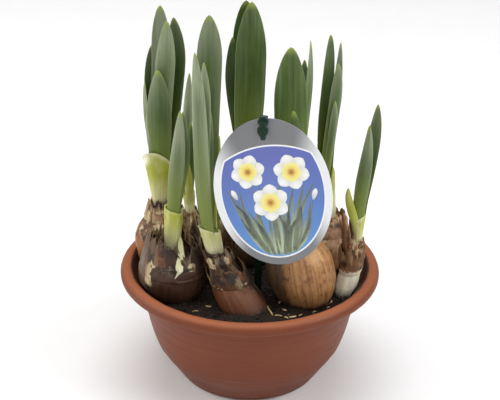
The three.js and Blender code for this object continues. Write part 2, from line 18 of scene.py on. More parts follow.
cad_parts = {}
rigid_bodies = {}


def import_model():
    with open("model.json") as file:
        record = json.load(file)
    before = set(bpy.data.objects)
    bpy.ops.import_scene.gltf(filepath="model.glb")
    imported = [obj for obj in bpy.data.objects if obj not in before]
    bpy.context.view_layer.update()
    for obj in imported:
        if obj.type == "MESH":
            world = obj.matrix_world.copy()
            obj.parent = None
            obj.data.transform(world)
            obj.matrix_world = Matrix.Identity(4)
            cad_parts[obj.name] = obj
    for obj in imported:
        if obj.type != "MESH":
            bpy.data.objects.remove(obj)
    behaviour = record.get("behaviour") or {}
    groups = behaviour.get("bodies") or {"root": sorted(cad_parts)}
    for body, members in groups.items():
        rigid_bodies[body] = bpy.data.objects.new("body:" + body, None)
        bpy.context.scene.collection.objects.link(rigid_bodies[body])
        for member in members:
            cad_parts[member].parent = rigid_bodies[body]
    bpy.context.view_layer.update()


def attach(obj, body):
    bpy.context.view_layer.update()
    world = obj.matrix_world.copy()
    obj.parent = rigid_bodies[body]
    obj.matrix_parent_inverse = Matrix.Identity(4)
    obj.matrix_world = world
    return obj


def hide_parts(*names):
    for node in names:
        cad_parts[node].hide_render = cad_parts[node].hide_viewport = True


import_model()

# %% [markdown]
# ## The camera
# The photograph looks down on the bowl by 26 degrees with a long lens, so the upright leaves hardly converge. The
# picture also leans by less than a degree. A camera is placed by its target, distance and elevation, which is
# easier to match to a photograph than three angles.

# %% Camera
CAMERA_TARGET = np.array([-0.0005, 0.0, 0.1388])
CAMERA_DISTANCE = 1.05
CAMERA_ELEVATION = math.radians(26.0)
CAMERA_ROLL = math.radians(0.7)
LENS_MM, SENSOR_MM = 105.0, 36.0


def aim_camera():
    """Back from the target along the view, with the picture's right and up axes turned by the roll."""
    forward = np.array([0.0, math.cos(CAMERA_ELEVATION), -math.sin(CAMERA_ELEVATION)])
    level_up = np.array([0.0, math.sin(CAMERA_ELEVATION), math.cos(CAMERA_ELEVATION)])
    level_right = np.array([1.0, 0.0, 0.0])
    right = level_right * math.cos(CAMERA_ROLL) + level_up * math.sin(CAMERA_ROLL)
    up = -level_right * math.sin(CAMERA_ROLL) + level_up * math.cos(CAMERA_ROLL)
    place = np.eye(4)
    place[:3, 0], place[:3, 1], place[:3, 2] = right, up, -forward
    place[:3, 3] = CAMERA_TARGET - CAMERA_DISTANCE * forward
    camera = bpy.data.objects.new("camera", bpy.data.cameras.new("camera"))
    camera.data.lens = LENS_MM
    camera.data.sensor_width = SENSOR_MM
    camera.matrix_world = Matrix(place.tolist())
    bpy.context.scene.collection.objects.link(camera)
    bpy.context.scene.camera = camera
    return camera


print("camera at", [round(v, 3) for v in aim_camera().location])

# %% [markdown]
# ## The light
# The leaves and the rim shine at both sides and are dark in the middle, so the photograph was taken between two
# large soft boxes, with another above and little light from the front. Area lights stand in for them, because the
# size of such a light decides how soft its shine and its shadows are.

# %% Light
WORLD_LIGHT = 0.29
PLANTS_MIDDLE = Vector((0, 0, 0.13))


def soft_box(name, place, size, watts, colour=(1, 1, 1)):
    """A square light at a place in metres, turned to face the middle of the plants."""
    light = bpy.data.lights.new(name, "AREA")
    light.size, light.energy, light.color = size, watts, colour
    box = bpy.data.objects.new(name, light)
    box.location = place
    box.rotation_euler = (PLANTS_MIDDLE - Vector(place)).to_track_quat("-Z", "Y").to_euler()
    bpy.context.scene.collection.objects.link(box)


def plain_world(strength):
    """One white light from all sides."""
    world = bpy.data.worlds.new("studio")
    world.use_nodes = True
    sky = world.node_tree.nodes["Background"].inputs
    sky["Color"].default_value, sky["Strength"].default_value = (1, 1, 1, 1), strength
    bpy.context.scene.world = world


soft_box("left", (-1.7, -0.1, 0.95), 1.1, 18.5, (1.0, 0.99, 0.97))
soft_box("right", (1.55, -0.5, 1.3), 1.1, 18.5, (0.98, 0.99, 1.0))
soft_box("above", (0.0, 0.25, 1.85), 1.5, 20.0)
soft_box("front", (0.1, -1.9, 1.3), 1.2, 8.5)
plain_world(WORLD_LIGHT)
bpy.context.scene.view_settings.view_transform = "Standard"
print("lights in watts:", {light.name: light.energy for light in bpy.data.lights})

# %% [markdown]
# ## Helpers for surfaces
# Almost everything here is a tube: rings of points, one after another, closed at both ends by a fan. A bulb is a
# tube of round rings, a leaf is a tube of flat ones, and a thin torn skin is a tube bent back on itself, so its
# last ring meets its first. A piece is a list of such tubes in one mesh. Each point also carries numbers, such as
# how near a torn edge is, and the finishes read them.

# %% Arrays
MM = 0.001


def angles_round(sides):
    """Angles in radians, evenly spaced round a circle."""
    return np.arange(sides) * 2 * np.pi / sides


def together(*arrays):
    """Arrays side by side, stretched to one shape first, as x, y and z make points."""
    return np.stack(np.broadcast_arrays(*arrays), axis=-1)


def unit(vectors):
    """The same directions with length 1."""
    return vectors / np.linalg.norm(vectors, axis=-1, keepdims=True)


def boxy(wave, power=0.6):
    """A wave from -1 to 1 raised to a power with its sign kept, which makes a round section squarer."""
    return np.sign(wave) * np.abs(wave) ** power


print("angles of a square:", angles_round(4).round(3))


# %% Tubes
def for_each_point(values, rows, sides):
    """One number, a row or a column of them, or three for each point, stretched over the whole grid."""
    values = np.asarray(values, float)
    return np.broadcast_to(values, (rows, sides) + values.shape[2:]).reshape(rows * sides, -1)


def tube(rings, values=None, ring_loop=False):
    """Quads between neighbouring rings, with fans at both ends unless the last ring meets the first.

    rings is rows x sides x 3 in millimetres, anticlockwise when seen from the end that the tube grows towards.
    values holds the numbers that the points carry, each under its name."""
    rows, sides = rings.shape[:2]
    index = np.arange(rows * sides).reshape(rows, sides)
    if ring_loop:
        index = np.vstack([index, index[:1]])
    a, b = index[:-1], np.roll(index[:-1], -1, axis=1)
    c, d = np.roll(index[1:], -1, axis=1), index[1:]
    quads = np.stack([a, b, c, d], axis=-1).reshape(-1, 4)
    points = rings.reshape(-1, 3)
    values = {name: for_each_point(array, rows, sides) for name, array in (values or {}).items()}
    triangles = np.empty((0, 3), int)
    if not ring_loop:
        low, high = len(points), len(points) + 1
        first, last = index[0], index[-1]
        triangles = np.vstack([
            together(low, np.roll(first, -1), first),
            together(high, last, np.roll(last, -1)),
        ])
        points = np.vstack([points, rings[0].mean(axis=0), rings[-1].mean(axis=0)])
        values = {name: np.vstack([v, v[first].mean(axis=0), v[last].mean(axis=0)]) for name, v in values.items()}
    return {"points": points, "quads": quads, "triangles": triangles, "values": values}


square = together(np.cos(angles_round(4)), np.sin(angles_round(4)), np.array([[0.0], [1.0]]))
print("a square tube of two rings:", {name: len(rows) for name, rows in tube(square).items()})

# %% [markdown]
# A piece is one mesh object. Faces that meet at more than an angle keep a hard edge between them, and all others are
# shaded as one curved surface. The piece then rides on the frame's root body, and the solids that it stands for are
# hidden.

# %% Pieces
SOFT_EDGE, CRISP_EDGE = 60, 30


def make_piece(name, parts, finish, replaces=(), sharp_angle=SOFT_EDGE):
    """One mesh object from several tubes, riding on the part's only body."""
    starts = np.cumsum([0] + [len(part["points"]) for part in parts[:-1]])
    points = np.vstack([part["points"] for part in parts]) * MM
    quads = np.vstack([part["quads"] + start for part, start in zip(parts, starts)])
    triangles = np.vstack([part["triangles"] + start for part, start in zip(parts, starts)])
    mesh = bpy.data.meshes.new(name)
    mesh.from_pydata(points.tolist(), [], quads.tolist() + triangles.tolist())
    for key in parts[0]["values"]:
        joined = np.vstack([part["values"][key] for part in parts])
        kind, field = ("FLOAT_VECTOR", "vector") if joined.shape[1] == 3 else ("FLOAT", "value")
        layer = mesh.attributes.new(key, kind, "POINT")
        layer.data.foreach_set(field, joined.astype(np.float32).ravel())
    mesh.shade_smooth()
    mesh.set_sharp_from_angle(angle=math.radians(sharp_angle))
    mesh.materials.append(finish)
    piece = bpy.data.objects.new(name, mesh)
    bpy.context.scene.collection.objects.link(piece)
    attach(piece, "root")
    if replaces:
        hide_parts(*replaces)
    print(f"{name}: {len(points)} points, {2 * len(quads) + len(triangles)} triangles")


# %% [markdown]
# Two more tools serve every surface. A smooth curve through corner points draws profiles. A cloudy noise, the same
# each run, roughens soil and tears paper: random numbers on a lattice, blended smoothly between its corners.

# %% Curves
def smooth_through(corners, count):
    """A smooth curve through corner points, evenly many steps between each pair (a Catmull-Rom curve)."""
    corners = np.asarray(corners, float)
    padded = np.vstack([corners[:1], corners, corners[-1:]])
    place = np.linspace(0, len(corners) - 1, count)
    left = np.minimum(place.astype(int), len(corners) - 2)
    t = (place - left)[:, None]
    before, a, b, after = (padded[left + k] for k in range(4))
    v0, v1 = (b - before) / 2, (after - a) / 2
    return a + v0 * t + (3 * (b - a) - 2 * v0 - v1) * t**2 + (2 * (a - b) + v0 + v1) * t**3


def ease(value, low, high):
    """0 below low, 1 above high, and an S-shaped step between them."""
    t = np.clip((value - low) / (high - low), 0, 1)
    return t * t * (3 - 2 * t)


print("an eased step:", ease(np.linspace(0, 1, 5), 0, 1).round(3))

# %% Noise
LATTICE_KEYS, SEED_KEY, MIXING_KEY = np.array([374761393, 668265263, 974634777]), 1274126177, 1103515245


def cloud(points, size, seed=0):
    """Noise from -1 to 1 at points: random numbers on a cubic lattice of that size, eased between corners.

    A corner's number comes from its whole-number place: large odd numbers and shifted bits scramble it."""
    scaled = np.asarray(points, float) / size
    cell = np.floor(scaled).astype(np.int64)
    part = scaled - cell
    part = part * part * (3 - 2 * part)
    total = np.zeros(scaled.shape[:-1])
    for corner in range(8):
        step = np.array([corner & 1, corner >> 1 & 1, corner >> 2 & 1])
        key = (cell + step) @ LATTICE_KEYS + seed * SEED_KEY
        key = (key ^ (key >> 13)) * MIXING_KEY & 0x7FFFFFFF
        weight = np.prod(np.where(step, part, 1 - part), axis=-1)
        total += weight * ((key ^ (key >> 9)) % 65536 / 32767.5 - 1)
    return total


def repeatable(seed, index):
    """The solids' own numbers from 0 to 1 for a seed and an index: what is left over from a large sine wave."""
    wave = np.sin(seed * 12.9898 + np.asarray(index) * 78.233) * 43758.5453
    return wave - np.floor(wave)


print("noise at four places:", cloud(np.random.default_rng(1).random((4, 3)) * 50, 3).round(2))

# %% [markdown]
# ## Helpers for finishes
# A finish is a small network of nodes. Writing it as nested calls keeps it short: `add` makes one node and plugs in
# numbers or other nodes. Numbers that are the same all over a surface are set on the shader itself.

# %% Nodes
def add(tree, kind, values=None, **settings):
    """One shader node. values fills its inputs, by name or number, with a constant or another node's output."""
    node = tree.nodes.new("ShaderNode" + kind)
    for key, value in settings.items():
        setattr(node, key, value)
    for key, value in (values or {}).items():
        if isinstance(value, bpy.types.NodeSocket):
            tree.links.new(value, node.inputs[key])
        else:
            node.inputs[key].default_value = value
    return node


def start_finish(name, **constants):
    """An empty finish: its node tree and its surface shader, with the given constants on the shader's sockets."""
    material = bpy.data.materials.new(name)
    material.use_nodes = True
    tree = material.node_tree
    shader = tree.nodes["Principled BSDF"]
    for key, value in constants.items():
        shader.inputs[key.replace("_", " ")].default_value = value
    return material, tree, shader


def plug(tree, shader, **sockets):
    """Links worked-out values to the shader's sockets."""
    for key, value in sockets.items():
        tree.links.new(value, shader.inputs[key.replace("_", " ")])


# %% [markdown]
# Patterns start from a place. Seen from the object, that is a point's own coordinates. On a leaf or a bulb it is a
# set of three carried numbers instead, so that veins and fibres follow the surface.

# %% Places and patterns
def object_place(tree):
    """A point's own coordinates in metres."""
    return add(tree, "TexCoord").outputs["Object"]


def carried(tree, name, output="Fac"):
    """A number, or with output Vector three, that the surface carries under that name."""
    return add(tree, "Attribute", attribute_name=name).outputs[output]


def stretched(tree, vector, scale):
    """A pattern's coordinates, multiplied by a scale for each axis."""
    return add(tree, "Mapping", {"Vector": vector, "Scale": scale}, vector_type="POINT").outputs[0]


def speckle(tree, vector, scale, detail=3.0, roughness=0.55):
    """Cloudy noise from 0 to 1."""
    values = {"Vector": vector, "Scale": scale, "Detail": detail, "Roughness": roughness}
    return add(tree, "TexNoise", values).outputs[0]


def drawn_out(tree, vector, scale, detail=3.0, roughness=0.55):
    """Cloudy noise, squeezed or drawn out by a scale for each axis."""
    return speckle(tree, stretched(tree, vector, scale), 1.0, detail, roughness)


def raised(tree, height, strength, distance):
    """A surface normal that catches the light as if the height, in metres times distance, were there."""
    values = {"Height": height, "Strength": strength, "Distance": distance}
    return add(tree, "Bump", values).outputs[0]


# %% Sums and colours
def sums(tree, kind, a, b=0.0, clamp=False):
    """One step of arithmetic."""
    return add(tree, "Math", {0: a, 1: b}, operation=kind, use_clamp=clamp).outputs[0]


def plus(tree, a, b, clamp=False):
    """The sum of two numbers."""
    return sums(tree, "ADD", a, b, clamp)


def times(tree, a, b):
    """The product of two numbers."""
    return sums(tree, "MULTIPLY", a, b)


def swing(tree, noise, size):
    """Noise that swings about 0 instead of 0.5, over the given size."""
    return times(tree, sums(tree, "SUBTRACT", noise, 0.5), size)


def step_up(tree, value, low, high, to_low=0.0, to_high=1.0):
    """A value's S-shaped step from to_low to to_high between low and high."""
    values = {"Value": value, "From Min": low, "From Max": high, "To Min": to_low, "To Max": to_high}
    return add(tree, "MapRange", values, interpolation_type="SMOOTHSTEP").outputs[0]


def linear(colour):
    """A colour in the 0 to 255 numbers of a picture as the linear one that a shader wants, or a node's as it is."""
    if isinstance(colour, bpy.types.NodeSocket):
        return colour
    return (*[v / 255 / 12.92 if v <= 10 else ((v / 255 + 0.055) / 1.055) ** 2.4 for v in colour], 1.0)


def blend(tree, share, a, b):
    """Colour a, giving way to colour b by the share."""
    return add(tree, "Mix", {0: share, 6: linear(a), 7: linear(b)}, data_type="RGBA", clamp_factor=True).outputs[2]


def painted(tree, colour, *coats):
    """A colour with others laid over it in turn, each given as its share and its colour."""
    for share, coat in coats:
        colour = blend(tree, share, colour, coat)
    return colour


print("middle grey as the shader wants it:", [round(part, 3) for part in linear((128, 128, 128))])

# %% [markdown]
# The floor comes first, because it shows whether the light is right. A real studio floor is painted board, so it
# has a faint mottling instead of one flat number.

# %% Floor
FLOOR_HALF = 4.0


def lay_floor():
    """A wide square at the height that the bowl stands on."""
    corners = [(x * FLOOR_HALF, y * FLOOR_HALF, 0) for x, y in ((-1, -1), (1, -1), (1, 1), (-1, 1))]
    mesh = bpy.data.meshes.new("floor")
    mesh.from_pydata(corners, [], [(0, 1, 2, 3)])
    material, tree, shader = start_finish("pale board", Roughness=0.9)
    mottled = blend(tree, speckle(tree, object_place(tree), 30.0), (250, 250, 250), (245, 245, 245))
    plug(tree, shader, Base_Color=mottled)
    mesh.materials.append(material)
    floor = bpy.data.objects.new("floor", mesh)
    bpy.context.scene.collection.objects.link(floor)


lay_floor()
print("floor:", 2 * FLOOR_HALF, "m wide")

# %% [markdown]
# ## The bowl
# The bowl is moulded plastic in a terracotta colour: a thin wall that swells as it rises, faint rings left by the
# mould, and a rolled rim. It could be a subdivided cylinder, but its true form is a turned profile, so the profile
# is drawn once and carried round the axis.

# %% Bowl sizes
# All in millimetres. GAP is the solids' clearance and ROUND_SIDES the number of their flat sides.
GAP = 0.35
RIM_RADIUS, POT_HEIGHT, RIM_BAND, RIM_LIP = 95.0, 88.5, 7.4, 10.0
WALL_THICKNESS, FLOOR_THICKNESS, ROUND_SIDES = 2.4, 3.0, 36
WALL_OUTLINE = [
    [48, 0], [52.5, 2.2], [56, 7.5], [60.8, 15], [67.4, 25], [72.2, 38], [75.6, 52], [79, 66], [82, 80],
]
wall_curve = smooth_through(WALL_OUTLINE, 400)


def wall_radius(height):
    """The bowl's outside radius at a height."""
    return np.interp(height, wall_curve[:, 1], wall_curve[:, 0])


inside_heights = np.array([FLOOR_THICKNESS, 6, 16, 34, 56, 76])
inside_outline = together(wall_radius(inside_heights) - WALL_THICKNESS, inside_heights)
inside_outline[0, 0] -= 3
inside_outline = np.vstack([inside_outline, [RIM_RADIUS - RIM_LIP, POT_HEIGHT - 2.6]])


def inner_radius(height):
    """The bowl's inside radius at a height."""
    return np.interp(height, inside_outline[:, 1], inside_outline[:, 0])


print("radius inside at the soil:", round(float(inner_radius(76)), 1), "mm")

# %% Bowl surface
BOWL_SIDES, WALL_ROWS, RIM_ROWS, INSIDE_ROWS = 320, 130, 60, 50
RING_HEIGHTS, RING_DEPTH, RING_WIDTH = [47.0, 55.5, 62.0, 68.0, 73.5], 0.14, 1.3
STEPS_IN_WALL = [(27.0, 0.55), (7.0, 0.4)]


def bowl_profile():
    """Radius and height, from the middle of the underside, up the outside, over the rim and down the inside."""
    rim_foot = POT_HEIGHT - RIM_BAND
    wall = smooth_through(WALL_OUTLINE, WALL_ROWS)
    for height in RING_HEIGHTS:
        wall[:, 0] += RING_DEPTH * np.exp(-(((wall[:, 1] - height) / RING_WIDTH) ** 2))
    for height, depth in STEPS_IN_WALL:
        wall[:, 0] -= depth * (1 - ease(wall[:, 1], height - 0.5, height + 0.5)) * ease(wall[:, 1], 0, 3)
    band = smooth_through([
        [RIM_RADIUS - 1.4, rim_foot], [RIM_RADIUS - 0.6, rim_foot + 0.4], [RIM_RADIUS - 0.1, rim_foot + 1.6],
        [RIM_RADIUS - 0.4, rim_foot + 4], [RIM_RADIUS - 1.9, rim_foot + 6.3], [RIM_RADIUS - 4.6, POT_HEIGHT],
        [RIM_RADIUS - 8.4, POT_HEIGHT - 0.5], [RIM_RADIUS - RIM_LIP, POT_HEIGHT - 2.6],
    ], RIM_ROWS)
    under = np.array([[82.4, rim_foot - 0.9], [82.8, rim_foot - 0.2], [84.5, rim_foot]])
    inside = smooth_through(inside_outline[::-1], INSIDE_ROWS)[1:]
    floor = np.array([[40.0, FLOOR_THICKNESS], [8.0, FLOOR_THICKNESS]])
    return np.vstack([[[8.0, 0.0], [40.0, 0.0]], wall, under, band, inside, floor])


def turned(profile, sides):
    """Every profile point carried round the Z axis: x = r cos a, y = r sin a, z = height."""
    angle, radius, height = angles_round(sides), profile[:, :1], profile[:, 1:]
    return together(radius * np.cos(angle), radius * np.sin(angle), height)


print("widest ring:", round(bowl_profile()[:, 0].max(), 2), "mm")

# %% [markdown]
# The plastic is matt with a slight satin. Its colour holds painted light and shade: the rim is painted lighter than
# the wall, as its top catches the light, and the wall is painted darker towards its foot, which is in shade. The
# inside wall above the soil and the lip's inner edge are darker. Fine specks and a little mottling keep it from
# looking like paint.

# %% Bowl finish
def plastic_finish():
    """Terracotta plastic: mottled colour, fine specks, a darker inside wall, painted light on the rim, painted shade
    at the foot.
    """
    material, tree, shader = start_finish("terracotta plastic", Specular_IOR_Level=0.3)
    place = object_place(tree)
    height = add(tree, "SeparateXYZ", {0: place}).outputs[2]
    mottling = speckle(tree, place, 18.0, 4.0)
    # Painted light and shade: the rim is lighter than the wall, as its top catches the light and the wall below is in
    # shade.
    wall = blend(tree, mottling, (107, 52, 28), (120, 60, 33))
    rim = blend(tree, mottling, (154, 90, 58), (167, 99, 65))
    specks = step_up(tree, speckle(tree, place, 900.0, 2.0), 0.62, 0.72)
    edge_noise = speckle(tree, place, 120.0, 5.0)
    ragged_height = plus(tree, height, swing(tree, edge_noise, 0.012))
    # Darker on the inside wall from the soil up to below the lip, and darker again at the lip's inner edge.
    overlay_share = times(tree, carried(tree, "inside"), step_up(tree, ragged_height, 0.081, 0.0845, 0.94, 0.1))
    flat = add(tree, "VectorMath", {0: place, 1: (1.0, 1.0, 0.0)}, operation="MULTIPLY").outputs[0]
    from_axis = add(tree, "VectorMath", {0: flat}, operation="LENGTH").outputs["Value"]
    from_axis = plus(tree, from_axis, swing(tree, edge_noise, 0.002))
    lip = times(tree, step_up(tree, from_axis, 0.0868, 0.088, 0.9, 0.0), step_up(tree, height, 0.0816, 0.083))
    colour = painted(
        tree, blend(tree, step_up(tree, height, 0.0855, 0.0893), wall, rim),
        # After the specks comes painted shade: the wall darkens towards its foot.
        (times(tree, specks, 0.3), (96, 50, 34)), (step_up(tree, height, 0.0, 0.06, 0.25, 0.0), (94, 50, 36)),
        (overlay_share, (40, 29, 22)), (lip, (44, 31, 24)),
    )
    scuffs = drawn_out(tree, place, (60, 60, 700))
    roughness = step_up(tree, plus(tree, mottling, scuffs), 0.6, 1.4, 0.42, 0.62)
    relief = raised(tree, speckle(tree, place, 1600.0, 2.0), 0.12, 0.0004)
    plug(tree, shader, Base_Color=colour, Roughness=roughness, Normal=relief)
    return material


def make_bowl():
    """The turned bowl, with the number inside rising from 0 to 1 below the lip."""
    profile = bowl_profile()
    past_lip = np.arange(len(profile)) > len(profile) - INSIDE_ROWS
    inside = past_lip * (1 - ease(profile[:, 1], 76, 85))
    rings = tube(turned(profile, BOWL_SIDES), {"inside": inside[:, None]})
    make_piece("bowl", [rings], plastic_finish(), ["pot"])


make_bowl()

# %% [markdown]
# ## The soil
# Damp potting soil is nearly black and made of crumbs of every size. The mounded top follows the solid, and noise
# of three sizes breaks it up. Loose crumbs, bark and bits of straw lie on it as small meshes of their own, because
# noise alone never gives the dark gaps under a crumb.

# %% Soil surface
SOIL_LEVEL, SOIL_RELIEF = 76.0, 1.3
SOIL_SIDES, SOIL_ROWS = 360, 100


def soil_height(x, y):
    """The level, with two crossed waves as mounds, falling a little towards the wall."""
    mounds = np.sin(0.09 * x + 1.3) * np.cos(0.11 * y + 0.4) + 0.6 * np.sin(0.21 * x - 0.17 * y)
    return SOIL_LEVEL + SOIL_RELIEF * mounds - 1.5 * ease(np.hypot(x, y), 60, 80)


def crumbled(x, y):
    """The mounds with noise of three sizes on them."""
    flat = together(x, y, 0.0)
    rough = 0.8 * cloud(flat, 6.5, 1) + 0.75 * np.abs(cloud(flat, 2.8, 2)) + 0.4 * cloud(flat, 1.3, 3)
    return soil_height(x, y) + rough - 0.3


def soil_rings():
    """A filled bowl: rings up the inside wall, then rings inwards over the top."""
    low = inside_outline[:-2].copy()
    low[:, 0] -= GAP
    low[0, 1] += GAP
    wall = turned(np.vstack([[[10.0, low[0, 1]]], low]), SOIL_SIDES)
    edge = inner_radius(SOIL_LEVEL - 4) - GAP
    radius = np.concatenate([np.linspace(edge, edge - 4, 4), np.linspace(edge - 4.8, 1.5, SOIL_ROWS)])[:, None]
    x, y = radius * np.cos(angles_round(SOIL_SIDES)), radius * np.sin(angles_round(SOIL_SIDES))
    return tube(np.vstack([wall, together(x, y, crumbled(x, y))]))


print("soil at the middle and near the wall:", crumbled(np.array([0.0, 72.0]), np.array([0.0, 0.0])).round(1), "mm")

# %% [markdown]
# Wet crumbs shine a little and dry ones don't, so the roughness is patchy. Two sizes of noise vary the brown, and
# lighter specks stand for bits of bark too small to be meshes.

# %% Soil finish
def soil_finish():
    """Near-black brown that varies from crumb to crumb, dull with a few damp glints."""
    material, tree, shader = start_finish("damp soil", Specular_IOR_Level=0.25)
    place = object_place(tree)
    bark = step_up(tree, speckle(tree, place, 420.0, 2.0), 0.66, 0.72)
    damp = blend(tree, speckle(tree, place, 260.0, 5.0), (18, 13, 10), (46, 34, 27))
    colour = painted(tree, damp, (times(tree, bark, 0.5), (104, 76, 54)))
    roughness = step_up(tree, speckle(tree, place, 700.0), 0.3, 0.6, 0.6, 0.95)
    relief = raised(tree, speckle(tree, place, 1300.0, 4.0, 0.7), 0.8, 0.0008)
    plug(tree, shader, Base_Color=colour, Roughness=roughness, Normal=relief)
    return material


make_piece("soil_body", [soil_rings()], soil_finish(), ["soil"])

# %% [markdown]
# ## The plants in one table
# The same table drives all eight plants, as in the solids: a bulb from its foot to its neck, the sheath on it, the
# leaves, and the torn skins. A designer would keep such a table so that one plant can move without the others.

# %% Plant table
BULB_KEYS = ["foot", "neck", "girth", "belly", "neck_radius", "shoulder", "seed"]
SHEATH_KEYS = ["mouth", "base", "top", "slant", "spikes"]
LEAF_KEYS = ["tip", "width", "face", "place", "bow", "taper"]
SKIN_KEYS = ["start", "top", "radius", "tear", "seed", "dip"]
PLANTS = {
    "left_back": {
        "bulb": [[-56.5, 17, 67], [-66.5, 18, 126], [24.2, 21], 0.39, 7.5, 1.6, 3],
        "sheath": [[-66.4, 15, 159], [5, 4.6], [10.2, 6.6], [13, -24], []],
        "leaves": [
            [[-64.3, 20, 277.5], 14.5, 165, 1.5, [1, 1], 32],
            [[-59.6, 14, 268.5], 14, 8, 1.2, [0.5, 0], 34],
            [[-55.2, 23, 268], 15.5, 152, 2.5, [6, 1], 34],
            [[-70.4, 24, 247.5], 12.5, 205, 3.4, [-1.5, 1], 28],
            [[-65.8, 8, 234.5], 17.5, -4, 1.9, [1, -1.2], 36],
            [[-75.6, 16, 222.5], 7.5, -60, 4, [-0.9, 0], 22],
            [[-74, 11.5, 200.5], 5.5, -50, 3.6, [-0.8, 0], 16],
        ],
        "skins": [
            [0.82, [-66.6, 18, 132], 6.8, 0.45, 11, [0, 0]],
            [0.6, [-64.5, 17.5, 119.5], 10.8, 0.5, 12, [60, 0.3]],
        ],
    },
    "left_front": {
        "bulb": [[-54.5, -25, 67], [-55.5, -25, 113], [24.4, 21.6], 0.52, 8.5, 2.4, 5],
        "sheath": [[-54, -27, 144.5], [5.8, 4.6], [6.7, 5.2], [2.5, 250], []],
        "leaves": [
            [[-48.6, -30, 219.8], 10.8, -5, 2.2, [0.3, 0], 46],
            [[-47, -24, 217], 9, 160, 2.4, [3.4, 0.5], 36],
        ],
        "skins": [
            [0.6, [-56.5, -24, 134], 13.2, 0.4, 21, [35, 0.82]],
            [0.76, [-49.5, -23, 123.5], 9.6, 0.4, 22, [-60, 0.6]],
        ],
    },
    "centre_front": {
        "bulb": [[9, -47, 50], [-24.8, -34, 115], [17.8, 17], 0.36, 8.6, 1.2, 7],
        "sheath": [[-28.6, -33.5, 132.5], [6.2, 5], [7.2, 5.6], [2, -75], [
            [[-22.3, -24, 199], 5, 110, 4.6, [0.5, 1], 16],
        ]],
        "leaves": [
            [[-29.3, -18, 283.9], 17.5, 176, 3, [3.4, 2], 32],
            [[-38.3, -34, 263.4], 13.2, -32, 2.6, [4.6, 0], 70],
            [[-32.6, -27, 253.9], 8.6, -30, 0.6, [3.4, 0], 30],
            [[-31, -25.5, 228.7], 8, 20, 0.4, [3.6, 0], 34],
        ],
        "skins": [
            [0.88, [-25.6, -34, 122], 10.2, 0.5, 31, [0, 0]],
            [0.66, [-21.5, -35, 113], 12.6, 0.6, 32, [-30, 0.3]],
        ],
    },
    "right_front": {
        "bulb": [[41, -33, 69], [30, -23.5, 131], [24.8, 23.6], 0.42, 8.2, 2, 9],
        "sheath": [[29, -21.5, 162], [6.4, 5], [10, 6.8], [4, 20], []],
        "leaves": [
            [[26.4, -6, 257.7], 23, 2, 1.8, [-0.6, 1], 40],
            [[28.6, -16, 215.2], 11.5, 4, 4, [0, 0], 18],
            [[39.6, 4, 258.8], 11, 68, 4, [2.2, 1], 36],
            [[36.2, 7, 243.9], 9, 150, 2.8, [1, 1], 30],
        ],
        "skins": [[0.84, [29.8, -23, 139], 9.4, 0.5, 41, [0, 0]]],
    },
    "right": {
        "bulb": [[66.5, -23, 65], [77, -16, 114.5], [8, 8.2], 0.3, 5.4, 1.3, 13],
        "sheath": [[76.6, -16, 134.5], [2.9, 2.7], [5.3, 4.2], [3, 100], [
            [[68.8, -17.5, 157.8], 7, -25, 3.2, [-1.6, 0], 20],
        ]],
        "leaves": [
            [[87.5, -7, 217], 12, 150, 1.6, [1.2, 0], 46],
            [[81.6, -15, 204.5], 10.6, -14, 1.6, [1.4, 0], 52],
        ],
        "skins": [
            [0.53, [74.8, -17.5, 119], 10.2, 0.34, 51, [40, 0.15]],
            [0.76, [69.8, -16, 141], 7, 0.4, 52, [95, 0.66]],
        ],
    },
    "centre_back": {
        "bulb": [[-1, 34, 65], [-3, 30, 124], [24, 22.5], 0.42, 8, 1.7, 15],
        "sheath": [[-3.2, 31, 160], [6.4, 5], [8.6, 6.4], [4, 8], []],
        "leaves": [
            [[-5, 40, 275.4], 20, 178, 2.8, [0.5, 1], 36],
            [[-1.1, 28, 278.3], 22, 2, 2.2, [1, 0], 42],
            [[-14.1, 36, 249.6], 13.5, -140, 4.4, [-3, 1], 32],
        ],
        "skins": [[0.82, [-3, 30, 131], 9.4, 0.5, 61, [0, 0]]],
    },
    "right_back": {
        "bulb": [[51, 27, 65], [57, 19.5, 117], [22.6, 21.5], 0.44, 8, 1.8, 17],
        "sheath": [[54, 18, 150], [6, 4.8], [7.2, 5.6], [4, 120], [
            [[59.3, 15, 158.6], 5.5, 60, 5.4, [0, 0], 12],
        ]],
        "leaves": [
            [[54.6, 22, 257], 10.4, -150, 3.6, [1.2, 0.5], 40],
            [[62, 27, 249.7], 10, 120, 3.2, [1, 1], 34],
            [[60.4, 17, 237.8], 9.4, 20, 1.4, [1.4, 0], 30],
            [[58.8, 12.5, 211.4], 5.4, 14, 4.2, [0.8, 0], 18],
        ],
        "skins": [[0.76, [58, 18.8, 126], 9.6, 0.4, 71, [-90, 0.2]]],
    },
    "left_middle": {
        "bulb": [[-31, 0, 66], [-43.6, -4, 131], [13, 13], 0.45, 5, 1.4, 19],
        "sheath": [[-44.4, -4, 147], [3.4, 3], [4.6, 3.8], [3, 200], [
            [[-44.2, -11, 172.5], 6, 10, 3, [0, 0], 20],
        ]],
        "leaves": [
            [[-43.4, -2, 236.8], 6.6, 10, 0.6, [-1, 1], 34],
            [[-42.7, -7, 202.2], 6, 30, 2.2, [1.8, -1], 26],
        ],
        "skins": [[0.66, [-43, -4, 138], 7.4, 0.55, 81, [0, 0]]],
    },
}


def named(keys, values):
    """A row of the table as names and values, with lists as arrays."""
    return {key: np.array(v, float) if isinstance(v, list) and v and not isinstance(v[0], list) else v
            for key, v in zip(keys, values)}


